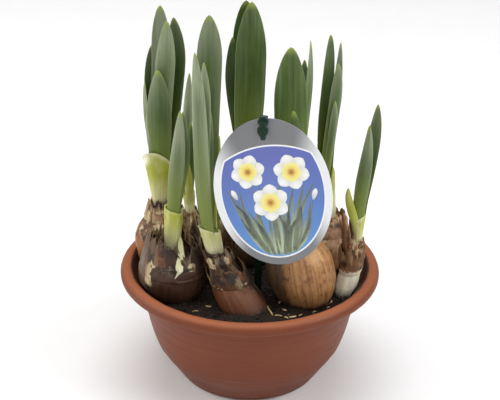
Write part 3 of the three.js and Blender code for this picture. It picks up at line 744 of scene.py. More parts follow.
for plant in PLANTS.values():
    plant["bulb"] = named(BULB_KEYS, plant["bulb"])
    plant["sheath"] = named(SHEATH_KEYS, plant["sheath"])
    plant["leaves"] = [named(LEAF_KEYS, row) for row in plant["leaves"]]
    plant["skins"] = [named(SKIN_KEYS, row) for row in plant["skins"]]
    plant["sheath"]["spikes"] = [named(LEAF_KEYS, row) for row in plant["sheath"]["spikes"]]
print("plants:", len(PLANTS), "leaves:", sum(len(p["leaves"]) for p in PLANTS.values()))

# %% [markdown]
# ## The bulbs
# A narcissus bulb is a swollen bud in dry brown skins. Old skins split, peel off and stay as ragged collars round
# the neck. The body is a stack of round rings whose width follows a circle below the belly and a soft shoulder above
# it. Sculpting would give the same bulbs once, while the formula gives any bulb in the table.

# %% Bulb form
BULB_SIDES, BULB_ROWS = 144, 90


def bulb_point(bulb, t, angle, margin, wrinkle=0.0):
    """A point of the bulb at a fraction t of its height and an angle.

    The half-width is the neck's plus a share of the rest: a quarter circle up to the belly, then half a cosine
    wave whose place is raised to the shoulder's power. Slow waves round the bulb make it lumpy."""
    below = np.sqrt(np.clip(1 - (1 - t / bulb["belly"]) ** 2, 0, 1))
    past = np.clip((t - bulb["belly"]) / (1 - bulb["belly"]), 0, 1)
    full = np.where(t < bulb["belly"], below, 0.5 + 0.5 * np.cos(np.pi * past ** bulb["shoulder"]))
    core = np.where(t < bulb["belly"], 0, bulb["neck_radius"])
    across, deep = (core + (half - core) * full for half in bulb["girth"])
    seed = bulb["seed"]
    lump = 0.018 * np.sin(3 * angle + seed) + 0.012 * np.sin(7 * angle + 2 * seed + 4 * t)
    x, y = across * np.cos(angle), deep * np.sin(angle)
    grow = 1 + lump * full + (margin + wrinkle) / np.hypot(x, y)
    axis = bulb["foot"] + (bulb["neck"] - bulb["foot"]) * t[..., None]
    return axis + together(x * grow, y * grow, 0.0)


def held_in_bowl(points, grow):
    """Points that would touch the wall or rim, moved straight inwards until they are just clear of it."""
    radius = np.hypot(points[..., 0], points[..., 1])
    room = inner_radius(points[..., 2]) + 12 * ease(points[..., 2], POT_HEIGHT + 4, POT_HEIGHT + 14)
    limit = room * math.cos(math.pi / ROUND_SIDES) - 3.5 * GAP + grow
    scale = np.minimum(1, limit / radius)
    return np.concatenate([points[..., :2] * scale[..., None], points[..., 2:]], axis=-1)


first_bulb = PLANTS["left_back"]["bulb"]
print("foot of the first bulb's axis:", bulb_point(first_bulb, np.array([0.02]), np.array([0.0]), 0.0).round(1))

# %% [markdown]
# The finish has to know where on the bulb it is. Each point carries a place for the fibres, which run from foot to
# neck, its height, its distance from a torn edge, and how strongly each kind of patch covers it.

# %% Numbers on a bulb
def patch_share(patches, kind, angle, t):
    """How strongly a kind of patch covers each point: soft ovals in degrees from the front and height."""
    share = np.zeros(np.broadcast(angle, t).shape)
    for name, facing, height, wide, tall, strength in patches:
        if name == kind:
            turn = (np.degrees(angle) + 90 - facing + 180) % 360 - 180
            share = np.maximum(share, strength * np.exp(-((turn / wide) ** 2) - ((t - height) / tall) ** 2))
    return share


def carried_numbers(patches, angle, t, layer, edge, seed, z):
    """The numbers that a bulb's finish reads at each point."""
    fibre = together(np.cos(angle), np.sin(angle), t * 1.6 + seed + 0.7 * layer)
    soiled = np.exp(-np.clip(z - SOIL_LEVEL, 0, None) / 3.5)
    kinds = {kind: patch_share(patches, kind, angle, t) for kind in ("bare", "cream", "dark", "rust", "grey")}
    return {"fibre": fibre, "layer": layer, "edge": edge, "soiled": soiled, "climb": t, **kinds}


spot = [("cream", 0, 0.8, 20, 0.1, 0.9)]
print("a patch at its middle:", patch_share(spot, "cream", np.array([-np.pi / 2]), np.array([0.8])))


# %% Bulb body
def bulb_body(bulb, patches, layer):
    """The body: rings close together at both ends, with fine ribs along it and dents of paper over scales."""
    angle = angles_round(BULB_SIDES)[None, :]
    t = 0.02 + 0.98 * (1 - np.cos(np.pi * np.linspace(0, 1, BULB_ROWS)[:, None])) / 2
    seat = together(9 * np.cos(angle), 9 * np.sin(angle), 3 * t + bulb["seed"])
    ribs = 0.16 * cloud(seat, 0.42, 5) + 0.3 * cloud(seat * [1, 1, 4], 2.4, 6)
    t = np.broadcast_to(t, ribs.shape)
    points = held_in_bowl(bulb_point(bulb, t, angle, 0.0, ribs - 0.2), 0.0)
    return tube(points, carried_numbers(patches, angle, t, layer, 1.0, bulb["seed"], points[..., 2]))


print("points on a body:", len(bulb_body(first_bulb, [], 1)["points"]))

# %% [markdown]
# Each torn skin is a thin sleeve that leaves the bulb's own surface and ends in a ragged edge. A flat sheet with
# holes in a picture would be quicker, but from the side it has no thickness and its tears cast no shadow.

# %% Torn skins
CAD_SIDES = 16
SKIN_ROWS = 12
SKIN_THICKNESS, SKIN_SINK = 0.5, 0.5


def torn_heights(skin, angle, ragged):
    """The share of the skin's height that is left at each angle: the solid's teeth, a dip and fine noise."""
    kept = 1 - skin["tear"] * repeatable(float(skin["seed"]), np.arange(CAD_SIDES))
    kept = np.interp(angle, np.arange(CAD_SIDES + 1) * 2 * np.pi / CAD_SIDES, np.append(kept, kept[0]))
    low_side = 0.5 + 0.5 * np.cos(angle - np.radians(skin["dip"][0] - 90))
    ring = together(np.cos(angle), np.sin(angle), skin["seed"])
    fray = ragged * (0.55 * cloud(ring, 0.34, 7) + 0.45 * cloud(ring, 0.13, 8) + 0.3 * cloud(ring, 0.05, 4) - 0.3)
    return np.clip(kept * (1 - skin["dip"][1] * low_side**2) + fray, 0.06, 1)


def torn_skin(bulb, skin, patches, layer=1, ragged=0.3, bulge=0.8):
    """A thin sleeve: up its outside to the torn edge and down its inside, with its last ring on its first.

    A point is on the straight line from the bulb's surface to the skin's top ring, as far along it as the torn
    height allows. A sine wave bulges it outwards, and noise crumples it."""
    angle = angles_round(BULB_SIDES)
    outward = together(np.cos(angle), np.sin(angle), 0.0)
    up = np.linspace(0, 1, SKIN_ROWS)
    s = np.concatenate([up, up[::-1]])[:, None]
    side = np.repeat([1.0, -1.0], SKIN_ROWS)[:, None]
    reach = s * torn_heights(skin, angle, ragged)
    margin = side * SKIN_THICKNESS / 2 * (1 - 0.55 * s)
    start = bulb_point(bulb, np.full_like(reach, skin["start"]), angle, margin - SKIN_SINK * (1 - s))
    edge = skin["top"] + (skin["radius"] + margin)[..., None] * outward
    points = start + (edge - start) * reach[..., None]
    folds = together(np.cos(angle), np.sin(angle), float(skin["seed"]) + 2.2 * reach)
    crumple = 0.7 * cloud(folds, 0.2, 9) + 0.9 * cloud(folds, 0.55, 10)
    swell = bulge * np.sin(np.pi * np.clip(s, 0, 1) ** 0.7) + crumple * ease(s, 0.15, 1)
    points = held_in_bowl(points + outward * swell[..., None], margin)
    t = skin["start"] + (1.05 - skin["start"]) * reach
    numbers = carried_numbers(patches, angle[None, :], t, layer, 1 - s, float(skin["seed"]), points[..., 2])
    # The inner face gets the next layer, and the finish paints it darker as shade.
    numbers["layer"] = np.where(side > 0, layer, layer + 1.0)
    return tube(points[::-1], {name: value[::-1] for name, value in numbers.items()}, ring_loop=True)


first_skin = PLANTS["left_back"]["skins"][0]
print("share of a skin left at four angles:", torn_heights(first_skin, angles_round(4), 0.3).round(2))

# %% [markdown]
# The patches are the bare places and stains that tell these bulbs apart: bare where a skin is gone, cream where it
# has only just come away, dark where it is wet or old, rust where it is thin and shiny, and grey where it is dusty.
# On the front right bulb they paint light instead: its dark patches are painted shade, and its bare patch is a
# painted highlight.

# %% Patches on the bulbs
# Each row: kind, facing in degrees from the front, height, half-width in degrees, half-height, strength.
PATCHES = {
    "left_back": [
        ("cream", -52, 0.87, 13, 0.06, 1.0), ("cream", -10, 0.8, 16, 0.1, 0.9), ("cream", 60, 0.84, 12, 0.14, 1.0),
        ("dark", 40, 0.82, 12, 0.1, 0.9), ("dark", -30, 0.7, 24, 0.04, 0.9), ("bare", -60, 0.44, 60, 0.16, 2.0),
        ("cream", 10, 0.93, 30, 0.04, 0.8), ("dark", 0, 1.02, 70, 0.06, 1.1), ("cream", -62, 0.72, 16, 0.04, 0.8),
    ],
    "left_front": [
        ("grey", -74, 0.62, 24, 0.36, 1.5), ("cream", -45, 0.62, 6, 0.12, 1.7), ("cream", -36, 0.74, 10, 0.022, 1.5),
        ("cream", 40, 0.8, 8, 0.03, 1.3), ("dark", 6, 0.93, 20, 0.05, 1.1), ("dark", 66, 0.86, 26, 0.1, 0.9),
        ("grey", -40, 0.96, 26, 0.1, 0.8), ("rust", -24, 0.86, 14, 0.06, 0.9), ("bare", 14, 0.42, 52, 0.3, 2.2),
        ("dark", 10, 0.785, 60, 0.012, 1.2), ("rust", 24, 0.36, 22, 0.03, 0.6), ("cream", -150, 1.0, 46, 0.16, 1.2),
    ],
    "centre_front": [
        ("cream", -40, 0.9, 26, 0.06, 1.0), ("cream", -50, 0.68, 24, 0.02, 1.4), ("cream", 42, 0.72, 14, 0.012, 1.2),
        ("dark", 14, 0.86, 16, 0.1, 1.5), ("dark", -24, 0.77, 22, 0.04, 1.2), ("dark", 84, 0.7, 22, 0.24, 1.1),
        ("rust", 50, 0.88, 9, 0.12, 1.3), ("dark", -10, 1.0, 80, 0.03, 1.1), ("bare", 0, 0.3, 110, 0.34, 2.2),
        ("cream", 40, 0.95, 14, 0.04, 0.9), ("dark", 70, 0.26, 40, 0.2, 0.9), ("rust", 10, 0.34, 30, 0.08, 0.9),
    ],
    "right_front": [
        # These dark patches are painted shade: on the left third, turned from the light and in the label's shadow,
        # and round the foot.
        ("dark", -66, 0.4, 38, 0.9, 1.9), ("dark", 0, 0.04, 90, 0.06, 0.9), ("dark", -40, 0.16, 40, 0.08, 0.7),
        # This bare patch is a painted highlight on the bulb's upper right, in its body colour.
        ("bare", 38, 0.76, 30, 0.12, 0.8), ("rust", 30, 0.14, 50, 0.07, 0.5),
    ],
    "right": [
        ("dark", -40, 0.72, 24, 0.05, 1.0), ("rust", 0, 0.615, 110, 0.015, 1.4), ("cream", 24, 0.86, 24, 0.05, 1.0),
        ("rust", 10, 0.74, 20, 0.05, 0.8), ("bare", 0, 0.48, 400, 0.1, 3.0), ("dark", 40, 0.66, 30, 0.03, 0.8),
    ],
    "centre_back": [("cream", 40, 0.8, 14, 0.06, 1.0), ("dark", -30, 0.7, 30, 0.1, 0.7)],
    "right_back": [
        ("cream", -20, 0.75, 20, 0.08, 0.8), ("rust", 30, 0.5, 40, 0.1, 0.7), ("dark", 40, 0.9, 30, 0.05, 0.9),
    ],
    "left_middle": [
        ("cream", 44, 0.84, 13, 0.16, 1.6), ("dark", 6, 0.82, 16, 0.08, 1.2), ("cream", -16, 0.93, 20, 0.06, 1.3),
        ("rust", 50, 0.64, 30, 0.05, 0.9), ("dark", 30, 0.62, 40, 0.05, 0.9),
    ],
}
print("patches:", {name: len(rows) for name, rows in PATCHES.items()})

# %% [markdown]
# Every bulb has its own colours too, from nearly black to straw.

# %% Colours of the skins
# Each bulb's skin as (deep, middle, light), then its body where the skins are gone. Last come three shares: how
# shiny it is, how much of it is patched like torn paper, and how strongly it is striped.
TUNICS = {
    "left_back": [(70, 45, 29), (138, 96, 56), (196, 160, 118), (164, 102, 56), 0.4, 1.0, 0.3],
    "left_front": [(36, 25, 18), (70, 47, 34), (106, 82, 60), (74, 48, 34), 0.4, 0.3, 0.2],
    "centre_front": [(42, 27, 18), (78, 49, 30), (136, 97, 60), (122, 70, 40), 0.44, 0.45, 0.12],
    # The front right bulb's body colour is a painted highlight: it shows only in its bare patch at the upper right.
    "right_front": [(122, 74, 42), (176, 128, 80), (200, 158, 108), (206, 162, 112), 0.4, 0.05, 0.62],
    "right": [(64, 40, 25), (124, 84, 52), (176, 136, 92), (255, 248, 220), 0.4, 0.22, 0.3],
    "centre_back": [(52, 36, 27), (98, 70, 50), (150, 118, 86), (100, 72, 50), 0.5, 0.7, 0.4],
    "right_back": [(110, 74, 52), (176, 134, 100), (208, 176, 142), (150, 110, 80), 0.5, 0.5, 0.3],
    "left_middle": [(54, 35, 22), (112, 76, 46), (206, 178, 128), (120, 86, 58), 0.5, 1.0, 0.2],
}
# The fourth colour tints the dark patches: wet or old skin, and painted shade on the front right bulb.
CREAM, RUST, WET_AND_SHADE, GREY = (226, 208, 166), (140, 86, 50), (38, 27, 21), (106, 83, 63)
print("darkest skin:", min(row[0] for row in TUNICS.values()), "lightest:", max(row[2] for row in TUNICS.values()))

# %% [markdown]
# ## The bulbs' finish
# Three things make the skin look like old paper: streaks of three tones along the fibres, flakes of older skin with
# ragged borders on the upper half, and the patches. Cells of a Voronoi pattern serve as flakes, once their straight
# borders are bent by noise. Painting a picture would need an unwrapped bulb, and this needs only the carried numbers.

# %% Flakes of old skin
def paper_flakes(tree, vector, size, ragged):
    """A number from 0 to 1 for each flake of old skin: cells of random value with ragged borders."""
    bent = add(tree, "TexNoise", {"Vector": vector, "Scale": 1.9 * size, "Detail": 4.0}).outputs[1]
    shift = add(tree, "VectorMath", {0: bent, 1: (0.5, 0.5, 0.5)}, operation="SUBTRACT").outputs[0]
    shift = add(tree, "VectorMath", {0: shift, "Scale": ragged / size}, operation="SCALE").outputs[0]
    moved = add(tree, "VectorMath", {0: vector, 1: shift}, operation="ADD").outputs[0]
    cells = add(tree, "TexVoronoi", {"Vector": moved, "Scale": size}).outputs["Color"]
    return add(tree, "SeparateColor", {0: cells}).outputs[0]


def flaked_skin(tree, fibre, tone, colours, patched):
    """Streaked skin with flakes over it, most of them above the belly, and the height of the flakes."""
    deep, middle, light = colours
    skin = blend(tree, step_up(tree, tone, 0.34, 0.52), deep, middle)
    skin = blend(tree, step_up(tree, tone, 0.52, 0.7, 0.0, 0.8), skin, light)
    flake = paper_flakes(tree, stretched(tree, fibre, (1.0, 1.0, 0.75)), 3.6, 1.5)
    bits = paper_flakes(tree, fibre, 9.0, 1.6)
    flaked = painted(
        tree, blend(tree, step_up(tree, flake, 0.28, 0.30), deep, skin),
        (step_up(tree, flake, 0.60, 0.62), light), (step_up(tree, flake, 0.80, 0.82, 0.0, 0.85), CREAM),
        (step_up(tree, bits, 0.80, 0.82, 0.0, 0.7), deep), (step_up(tree, bits, 0.16, 0.18, 0.7, 0.0), light),
        (step_up(tree, tone, 0.4, 0.6, 0.15, 0.45), skin),
    )
    upper = step_up(tree, carried(tree, "climb"), 0.42, 0.62, 0.12 * patched, patched)
    return blend(tree, upper, skin, flaked), times(tree, flake, upper)


# %% Stains
def stained(tree, colour, bare, long_grain, blotches):
    """The kinds of patches laid over the skin in turn, their borders roughened by blotches, and the bare share."""
    patchy_cream = blend(tree, step_up(tree, long_grain, 0.4, 0.62), CREAM, (166, 138, 98))
    shares = {}
    for kind, tint, ragged, low, high in (
        ("bare", bare, 0.8, 0.2, 0.9), ("grey", GREY, 1.4, 0.3, 0.8), ("rust", RUST, 2.4, 0.2, 1.3),
        ("cream", patchy_cream, 3.6, 0.44, 0.6), ("dark", WET_AND_SHADE, 1.8, 0.25, 0.85),
    ):
        cover = carried(tree, kind)
        strength = plus(tree, cover, swing(tree, blotches, ragged))
        shares[kind] = times(tree, step_up(tree, strength, low, high, 0.0, 0.85), step_up(tree, cover, 0.05, 0.4))
        colour = blend(tree, shares[kind], colour, tint)
    return colour, shares["bare"]


# %% Bulb finish
def bulb_finish(name, deep, middle, light, body, shine, patched, striped):
    """Papery skin with fibres along it, flakes and patches with ragged borders, and soil at its foot."""
    material, tree, shader = start_finish(name, Specular_IOR_Level=0.4)
    fibre, layer = carried(tree, "fibre", "Vector"), carried(tree, "layer")
    long_grain = drawn_out(tree, fibre, (9, 9, 0.9), 5.0, 0.6)
    fine_grain = drawn_out(tree, fibre, (42, 42, 2.6), 3.0, 0.6)
    stripes = drawn_out(tree, fibre, (16, 16, 0.4), 2.0, 0.6)
    blotches = speckle(tree, object_place(tree), 210.0, 4.0, 0.65)
    tone = plus(tree, times(tree, long_grain, 0.5), times(tree, blotches, 0.5))

    skin, flake_height = flaked_skin(tree, fibre, tone, (deep, middle, light), patched)
    # On the front right bulb this bare colour is a painted highlight, laid on by its bare patch.
    bare = blend(tree, step_up(tree, tone, 0.35, 0.65), [0.92 * part for part in body], body)
    papery = step_up(tree, layer, 0.3, 0.7, 0.08, 1.0)
    colour = painted(
        tree, blend(tree, step_up(tree, layer, 0.3, 0.7), bare, skin),
        (times(tree, step_up(tree, stripes, 0.5, 0.64, 0.0, 0.75 * striped), papery), deep),
        (times(tree, step_up(tree, fine_grain, 0.54, 0.66, 0.0, 0.4), papery), deep),
        # Painted shade: the inner face of each torn skin, which faces the bulb, is darker.
        (step_up(tree, layer, 1.4, 1.6, 0.0, 0.3), deep),
    )
    colour, bare_share = stained(tree, colour, bare, long_grain, blotches)
    torn = step_up(tree, carried(tree, "edge"), 0.0, 0.12, 0.8, 0.0)
    colour = painted(
        tree, colour, (times(tree, torn, step_up(tree, blotches, 0.42, 0.55)), light),
        (times(tree, carried(tree, "soiled"), step_up(tree, blotches, 0.3, 0.6, 0.5, 1.0)), (34, 25, 19)),
    )
    roughness = step_up(tree, long_grain, 0.3, 0.7, shine - 0.08, shine + 0.2)
    relief = plus(tree, fine_grain, times(tree, long_grain, 1.5))
    relief = plus(tree, relief, times(tree, flake_height, 0.8))
    relief = times(tree, relief, step_up(tree, bare_share, 0.2, 0.8, 1.0, 0.35))
    plug(tree, shader, Base_Color=colour, Roughness=roughness, Normal=raised(tree, relief, 0.6, 0.0008))
    return material


# %% [markdown]
# Every bulb gets one more skin than its solid has: a low and very ragged collar close to the sheath. It is only a
# few millimetres high, so the solid can do without it, but it hides the hard line where leaf meets bulb. Four bulbs
# have further inner skins, which stand between a solid's torn skin and the sheath.

# %% Making the bulbs
INNER_SKINS = {
    "left_front": [
        [0.8, [-57.6, -26.5, 134.5], 10.2, 0.3, 24, [75, 0.7]], [0.88, [-55.3, -26, 122], 8.4, 0.6, 25, [60, 0.4]],
    ],
    "left_back": [[0.9, [-66.6, 17.6, 134], 8.2, 0.6, 14, [0, 0]]],
    "right": [[0.7, [75.6, -17, 121], 7.2, 0.6, 54, [0, 0.2]]],
    "right_front": [[0.9, [29.9, -23.2, 137], 8.4, 0.6, 44, [0, 0]]],
}


def collar(plant):
    """The low ragged skin at the sheath's foot, in the same terms as the table's skins."""
    bulb, sheath = plant["bulb"], plant["sheath"]
    lean = (sheath["mouth"] - bulb["neck"]) / np.linalg.norm(sheath["mouth"] - bulb["neck"])
    values = [0.93, bulb["neck"] + 6.5 * lean, sheath["base"].mean() + 1.5, 0.75, bulb["seed"] + 100, np.zeros(2)]
    return dict(zip(SKIN_KEYS, values))


def make_bulb(name, plant):
    """Body, torn skins and collar in one piece. Only the bulb at the right is bare, so its body is layer 0."""
    bulb, patches = plant["bulb"], PATCHES[name]
    parts = [bulb_body(bulb, patches, layer=0 if name == "right" else 1)]
    parts += [torn_skin(bulb, skin, patches) for skin in plant["skins"]]
    inner = [named(SKIN_KEYS, row) for row in INNER_SKINS.get(name, [])]
    parts += [torn_skin(bulb, skin, patches, ragged=0.5) for skin in inner]
    parts.append(torn_skin(bulb, collar(plant), patches, ragged=0.5, bulge=0.4))
    finish = bulb_finish(f"bulb skin {name}", *TUNICS[name])
    make_piece(f"{name}_bulb", parts, finish, [f"bulb_{name}"])


for name, plant in PLANTS.items():
    make_bulb(name, plant)

# %% [markdown]
# ## The leaves
# A narcissus leaf is a flat strap with a shallow channel on its inner side and a blunt tip. A grey bloom lies on
# the green, fine veins run its whole length, and the tip is yellowish. A plane bent by a curve modifier would do, but
# carrying a lens-shaped section along a curve gives both faces, the round edges and the channel at once.

# %% Leaf line and width
LEAF_ROWS, LEAF_SIDES = 56, 36


def shoot_centre(plant, s):
    """The middle of a shoot: on the line from the bulb's neck to the sheath's mouth and beyond."""
    neck, mouth = plant["bulb"]["neck"], plant["sheath"]["mouth"]
    return neck + (mouth - neck) * np.asarray(s, float)[..., None]


def sheath_halves(plant, s):
    """The sheath's half-widths, across and deep, at a share s of its height."""
    base, top = plant["sheath"]["base"], plant["sheath"]["top"]
    return tuple(base[k] + (top[k] - base[k]) * s for k in (0, 1))


def leaf_line(plant, leaf, outward, root_s):
    """The leaf's middle line, a Bezier curve from the shoot to the tip, with its steps, length and directions."""
    root = shoot_centre(plant, root_s) + outward * min(leaf["place"], 0.62 * sheath_halves(plant, root_s)[1])
    tip, bow = leaf["tip"], np.append(leaf["bow"], 0.0)
    length = np.linalg.norm(tip - root)
    climb = shoot_centre(plant, 1) - shoot_centre(plant, 0)
    climb = climb / np.linalg.norm(climb)
    low = root + climb * 0.36 * length + outward * 0.4 * leaf["place"] + bow
    high = tip + np.array([0, 0, -0.3 * length])
    high = high + (low - high) * 0.12 + bow * 0.9
    s = (1 - (1 - np.linspace(0, 1, LEAF_ROWS)) ** 2.1)[:, None]
    centre = (1 - s) ** 3 * root + 3 * (1 - s) ** 2 * s * low + 3 * (1 - s) * s**2 * high + s**3 * tip
    along = (1 - s) ** 2 * (low - root) + 2 * (1 - s) * s * (high - low) + s**2 * (tip - high)
    return s, length, centre, along


def leaf_share(leaf, distance, length):
    """The share of its width that a leaf has at a distance from its tip: a blunt sine point, slimmer at the root."""
    point = np.sin(np.pi / 2 * np.minimum(1, distance / leaf["taper"])) ** 0.58
    return np.maximum(0.03, point) * (0.8 + 0.2 * ease(length - distance, 0, 0.45 * length))


lengths = [leaf_line(plant, plant["leaves"][0], np.zeros(3), 0.86)[1] for plant in PLANTS.values()]
print("first leaf of each plant:", np.round(lengths), "mm")


# %% Leaf blade
LEAF_MIDDLE, LEAF_MARGIN = 1.7, 1.2


def strap_leaf(plant, leaf, number, root_s=0.86, bloom=0.5):
    """A closed lens-shaped section carried along the leaf's line.

    At the angle a round the section, the place across is cos a and the half-thickness is sin a to the power 0.6.
    The whole section sags by 1 - u squared, which is the channel."""
    face = math.radians(leaf["face"])
    outward = np.array([math.sin(face), -math.cos(face), 0.0])
    s, length, centre, along = leaf_line(plant, leaf, outward, root_s)
    across = unit(np.cross(along, outward))
    normal = unit(np.cross(across, along))
    share = leaf_share(leaf, (1 - s) * length, length)
    u, side = np.cos(angles_round(LEAF_SIDES))[None, :], np.sin(angles_round(LEAF_SIDES))[None, :]
    half_thick = (LEAF_MIDDLE + (LEAF_MARGIN - LEAF_MIDDLE) * u**2) * (0.45 + 0.55 * share) / 2
    ripple = 0.03 * leaf["width"] * np.sin(2 * np.pi * s * 1.7 + number) * u * ease(s, 0.1, 0.5)
    sag = 0.13 * leaf["width"] * share * (1 - u**2) - 0.25 * share * np.exp(-((u / 0.1) ** 2)) * (side < 0)
    depth = sag + half_thick * boxy(side) + ripple
    half = leaf["width"] / 2 * share
    points = centre[:, None] + across[:, None] * (half * u)[..., None] + normal[:, None] * depth[..., None]
    return tube(points, {
        "blade": together(half * u, s * length, 10.0 * number), "rise": s, "from_tip": (1 - s) * length,
        "channel": side < 0, "margin": np.abs(u), "bloom": bloom,
    })


def shoot_core(plant, from_s, to_s, inset, rows=8):
    """The bundle's round core: oval rings from one height fraction to another, inside the sheath."""
    s, turn = np.linspace(from_s, to_s, rows)[:, None], angles_round(LEAF_SIDES)[None, :]
    across, deep = (half - inset for half in sheath_halves(plant, np.clip(s, 0, 1.2)))
    points = shoot_centre(plant, s) + together(across * np.cos(turn), deep * np.sin(turn), 0.0)
    blade = together(6 * np.cos(turn), points[..., 2], 0.0)
    return tube(points, {"blade": blade, "rise": 0, "from_tip": 90, "channel": 1, "margin": 0, "bloom": 0})


# %% [markdown]
# The finish runs along the blade: veins are noise squeezed across the leaf and drawn out along it. The grey bloom
# is thickest at the margins and near the tip, and some leaves have more of it than others, so each leaf carries its
# own share. Where the bloom is thin, the deep green shows.

# %% Leaf finish
def leaf_bloom(tree, bands):
    """How much grey bloom covers a point: its leaf's own share, more of it at the margins and the tip."""
    edge = times(tree, sums(tree, "POWER", carried(tree, "margin"), 1.8), 0.8)
    near_tip = step_up(tree, carried(tree, "from_tip"), 0.0, 40.0, 1.15, 0.0)
    cover = plus(tree, plus(tree, edge, near_tip), times(tree, carried(tree, "bloom"), 0.38))
    return plus(tree, times(tree, cover, carried(tree, "bloom")), swing(tree, bands, 0.7), clamp=True)


def leaf_finish():
    """Deep green under a grey bloom, lengthwise veins, a yellow-green foot and a yellowish tip."""
    material, tree, shader = start_finish(
        "narcissus leaf", Specular_IOR_Level=0.34, Sheen_Weight=0.1, Sheen_Roughness=0.5,
        Subsurface_Weight=0.06, Subsurface_Radius=(0.001, 0.002, 0.0006), Subsurface_Scale=1.0,
    )
    blade = carried(tree, "blade", "Vector")
    veins = drawn_out(tree, blade, (2.2, 0.012, 1), 3.0, 0.6)
    bands = drawn_out(tree, blade, (0.45, 0.02, 1), 2.0)
    drift = drawn_out(tree, blade, (0.12, 0.03, 1))
    colour = painted(
        tree, blend(tree, step_up(tree, drift, 0.35, 0.65), (57, 80, 22), (72, 96, 32)),
        (leaf_bloom(tree, bands), (146, 155, 124)),
        (step_up(tree, veins, 0.45, 0.65, 0.0, 0.35), (56, 78, 30)),
        (times(tree, carried(tree, "channel"), 0.3), (44, 66, 24)),
        (step_up(tree, carried(tree, "rise"), 0.05, 0.66, 0.8, 0.0), (116, 130, 40)),
        (step_up(tree, carried(tree, "margin"), 0.94, 1.0, 0.0, 0.3), (146, 158, 94)),
        (step_up(tree, carried(tree, "from_tip"), 0.3, 6.5, 0.75, 0.0), (146, 158, 66)),
    )
    roughness = step_up(tree, bands, 0.3, 0.7, 0.36, 0.5)
    relief = plus(tree, veins, times(tree, bands, 1.4))
    plug(tree, shader, Base_Color=colour, Roughness=roughness, Normal=raised(tree, relief, 0.35, 0.0006))
    return material


# %% Making the leaves
LEAF_BLOOM = {
    "left_back": [1.15, 0.76, 0.4, 0.3, 0.36, 0.7, 0.8], "left_front": [0.86, 0.3],
    "centre_front": [0.7, 1.0, 0.7, 0.35], "right_front": [0.1, 0.08, 0.5, 0.1], "right": [0.5, 0.6],
    "centre_back": [0.05, 0.12, 0.05], "right_back": [0.2, 0.5, 0.42, 0.45], "left_middle": [1.0, 0.05],
}
leaf_material = leaf_finish()
for index, (name, plant) in enumerate(PLANTS.items()):
    leaves = zip(plant["leaves"], LEAF_BLOOM[name], strict=True)
    blades = [strap_leaf(plant, leaf, 10 * index + k, bloom=bloom) for k, (leaf, bloom) in enumerate(leaves)]
    blades.append(shoot_core(plant, 0.12, 1.0, 1.4))
    make_piece(f"{name}_leaves", blades, leaf_material, [f"leaves_{name}"])

# %% [markdown]
# ## The sheaths
# At its foot each bundle is wrapped in a pale membrane, the first leaf that never turned green: cream where it
# leaves the bulb, yellow-green above, and translucent along its slanting mouth. It is a sleeve with a real mouth:
# the rings go up the outside, over the lip and down the inside. Some mouths also fold outwards on one side.

# %% Sheath sleeve
SHEATH_SIDES, SHEATH_ROWS, SHEATH_LINING_ROWS = 96, 40, 8
SHEATH_WALL = 0.9
# A mouth's fold: its facing and half-width in degrees and its curl, then how pale its lip is and how strong its
# green.
PLAIN_MOUTH = (0, 40, 0.4, 0.6, 1.0)
MOUTHS = {
    "left_back": (-62, 42, 1.5, 0.9, 1.15), "left_front": (-50, 40, 0.12, 0.3, 1.15),
    "centre_front": (-70, 40, 0.6, 0.9, 0.62),
}


def sheath_sleeve(plant, mouth, number):
    """Oval rings from below the neck to the mouth, whose slant grows with the square of the height, then back.

    The fold is a bell curve round the mouth: the share e to the power of minus (turn / half-width) squared."""
    facing, reach, flare, pale, green = mouth
    sheath = plant["sheath"]
    rise = sheath["slant"][0] / (sheath["mouth"][2] - plant["bulb"]["neck"][2])
    high_side = math.radians(sheath["slant"][1] - 90)
    share = np.concatenate([np.linspace(0, 1, SHEATH_ROWS), np.linspace(0.99, 0.74, SHEATH_LINING_ROWS)])[:, None]
    inner = np.repeat([0.0, 1.0], [SHEATH_ROWS, SHEATH_LINING_ROWS])[:, None]
    turn = angles_round(SHEATH_SIDES)[None, :]
    ring = together(np.cos(turn), np.sin(turn), number)
    s = -0.2 + 1.2 * share + share**2 * rise * np.cos(turn - high_side)
    s = s + 0.02 * cloud(ring, 0.5, 12) * ease(share, 0.7, 1.0)
    ribs = 0.06 * np.cos(turn * 26) + 0.12 * cloud(ring * [3, 3, 1], 0.5, 11)
    lip = 0.35 * ease(share, 0.93, 1.0)
    away = (np.degrees(turn) + 90 - facing + 180) % 360 - 180
    curl = flare * np.exp(-((away / reach) ** 2)) * ease(share, 0.94, 1.0)
    across, deep = (half - SHEATH_WALL * inner + ribs - lip * inner + curl
                    for half in sheath_halves(plant, np.clip(s, 0, 1.2)))
    points = shoot_centre(plant, s) + together(across * np.cos(turn), deep * np.sin(turn), 0.0)
    fold = np.exp(-((1.7 * away / reach) ** 2)) * min(1, flare)
    pale_edge = np.maximum(pale * ease(share, 0.92, 1.0), 2 * fold * ease(share, 0.8, 0.93))
    blade = together(8 * turn, 30 * s, 5.0 * number)
    return tube(points, {"blade": blade, "lip": pale_edge, "rise": green * np.clip(s, 0, 2), "tipped": 0})


print("mouths that fold outwards:", ", ".join(MOUTHS))

# %% [markdown]
# The front left sheath has split, and a strip of it hangs down over the bulb. A few sheaths also have a short pale
# leaf tip beside them, which is a small leaf with the sheath's own finish.

# %% Strip and tips
TATTER_ROWS, TATTER_SIDES = 36, 24


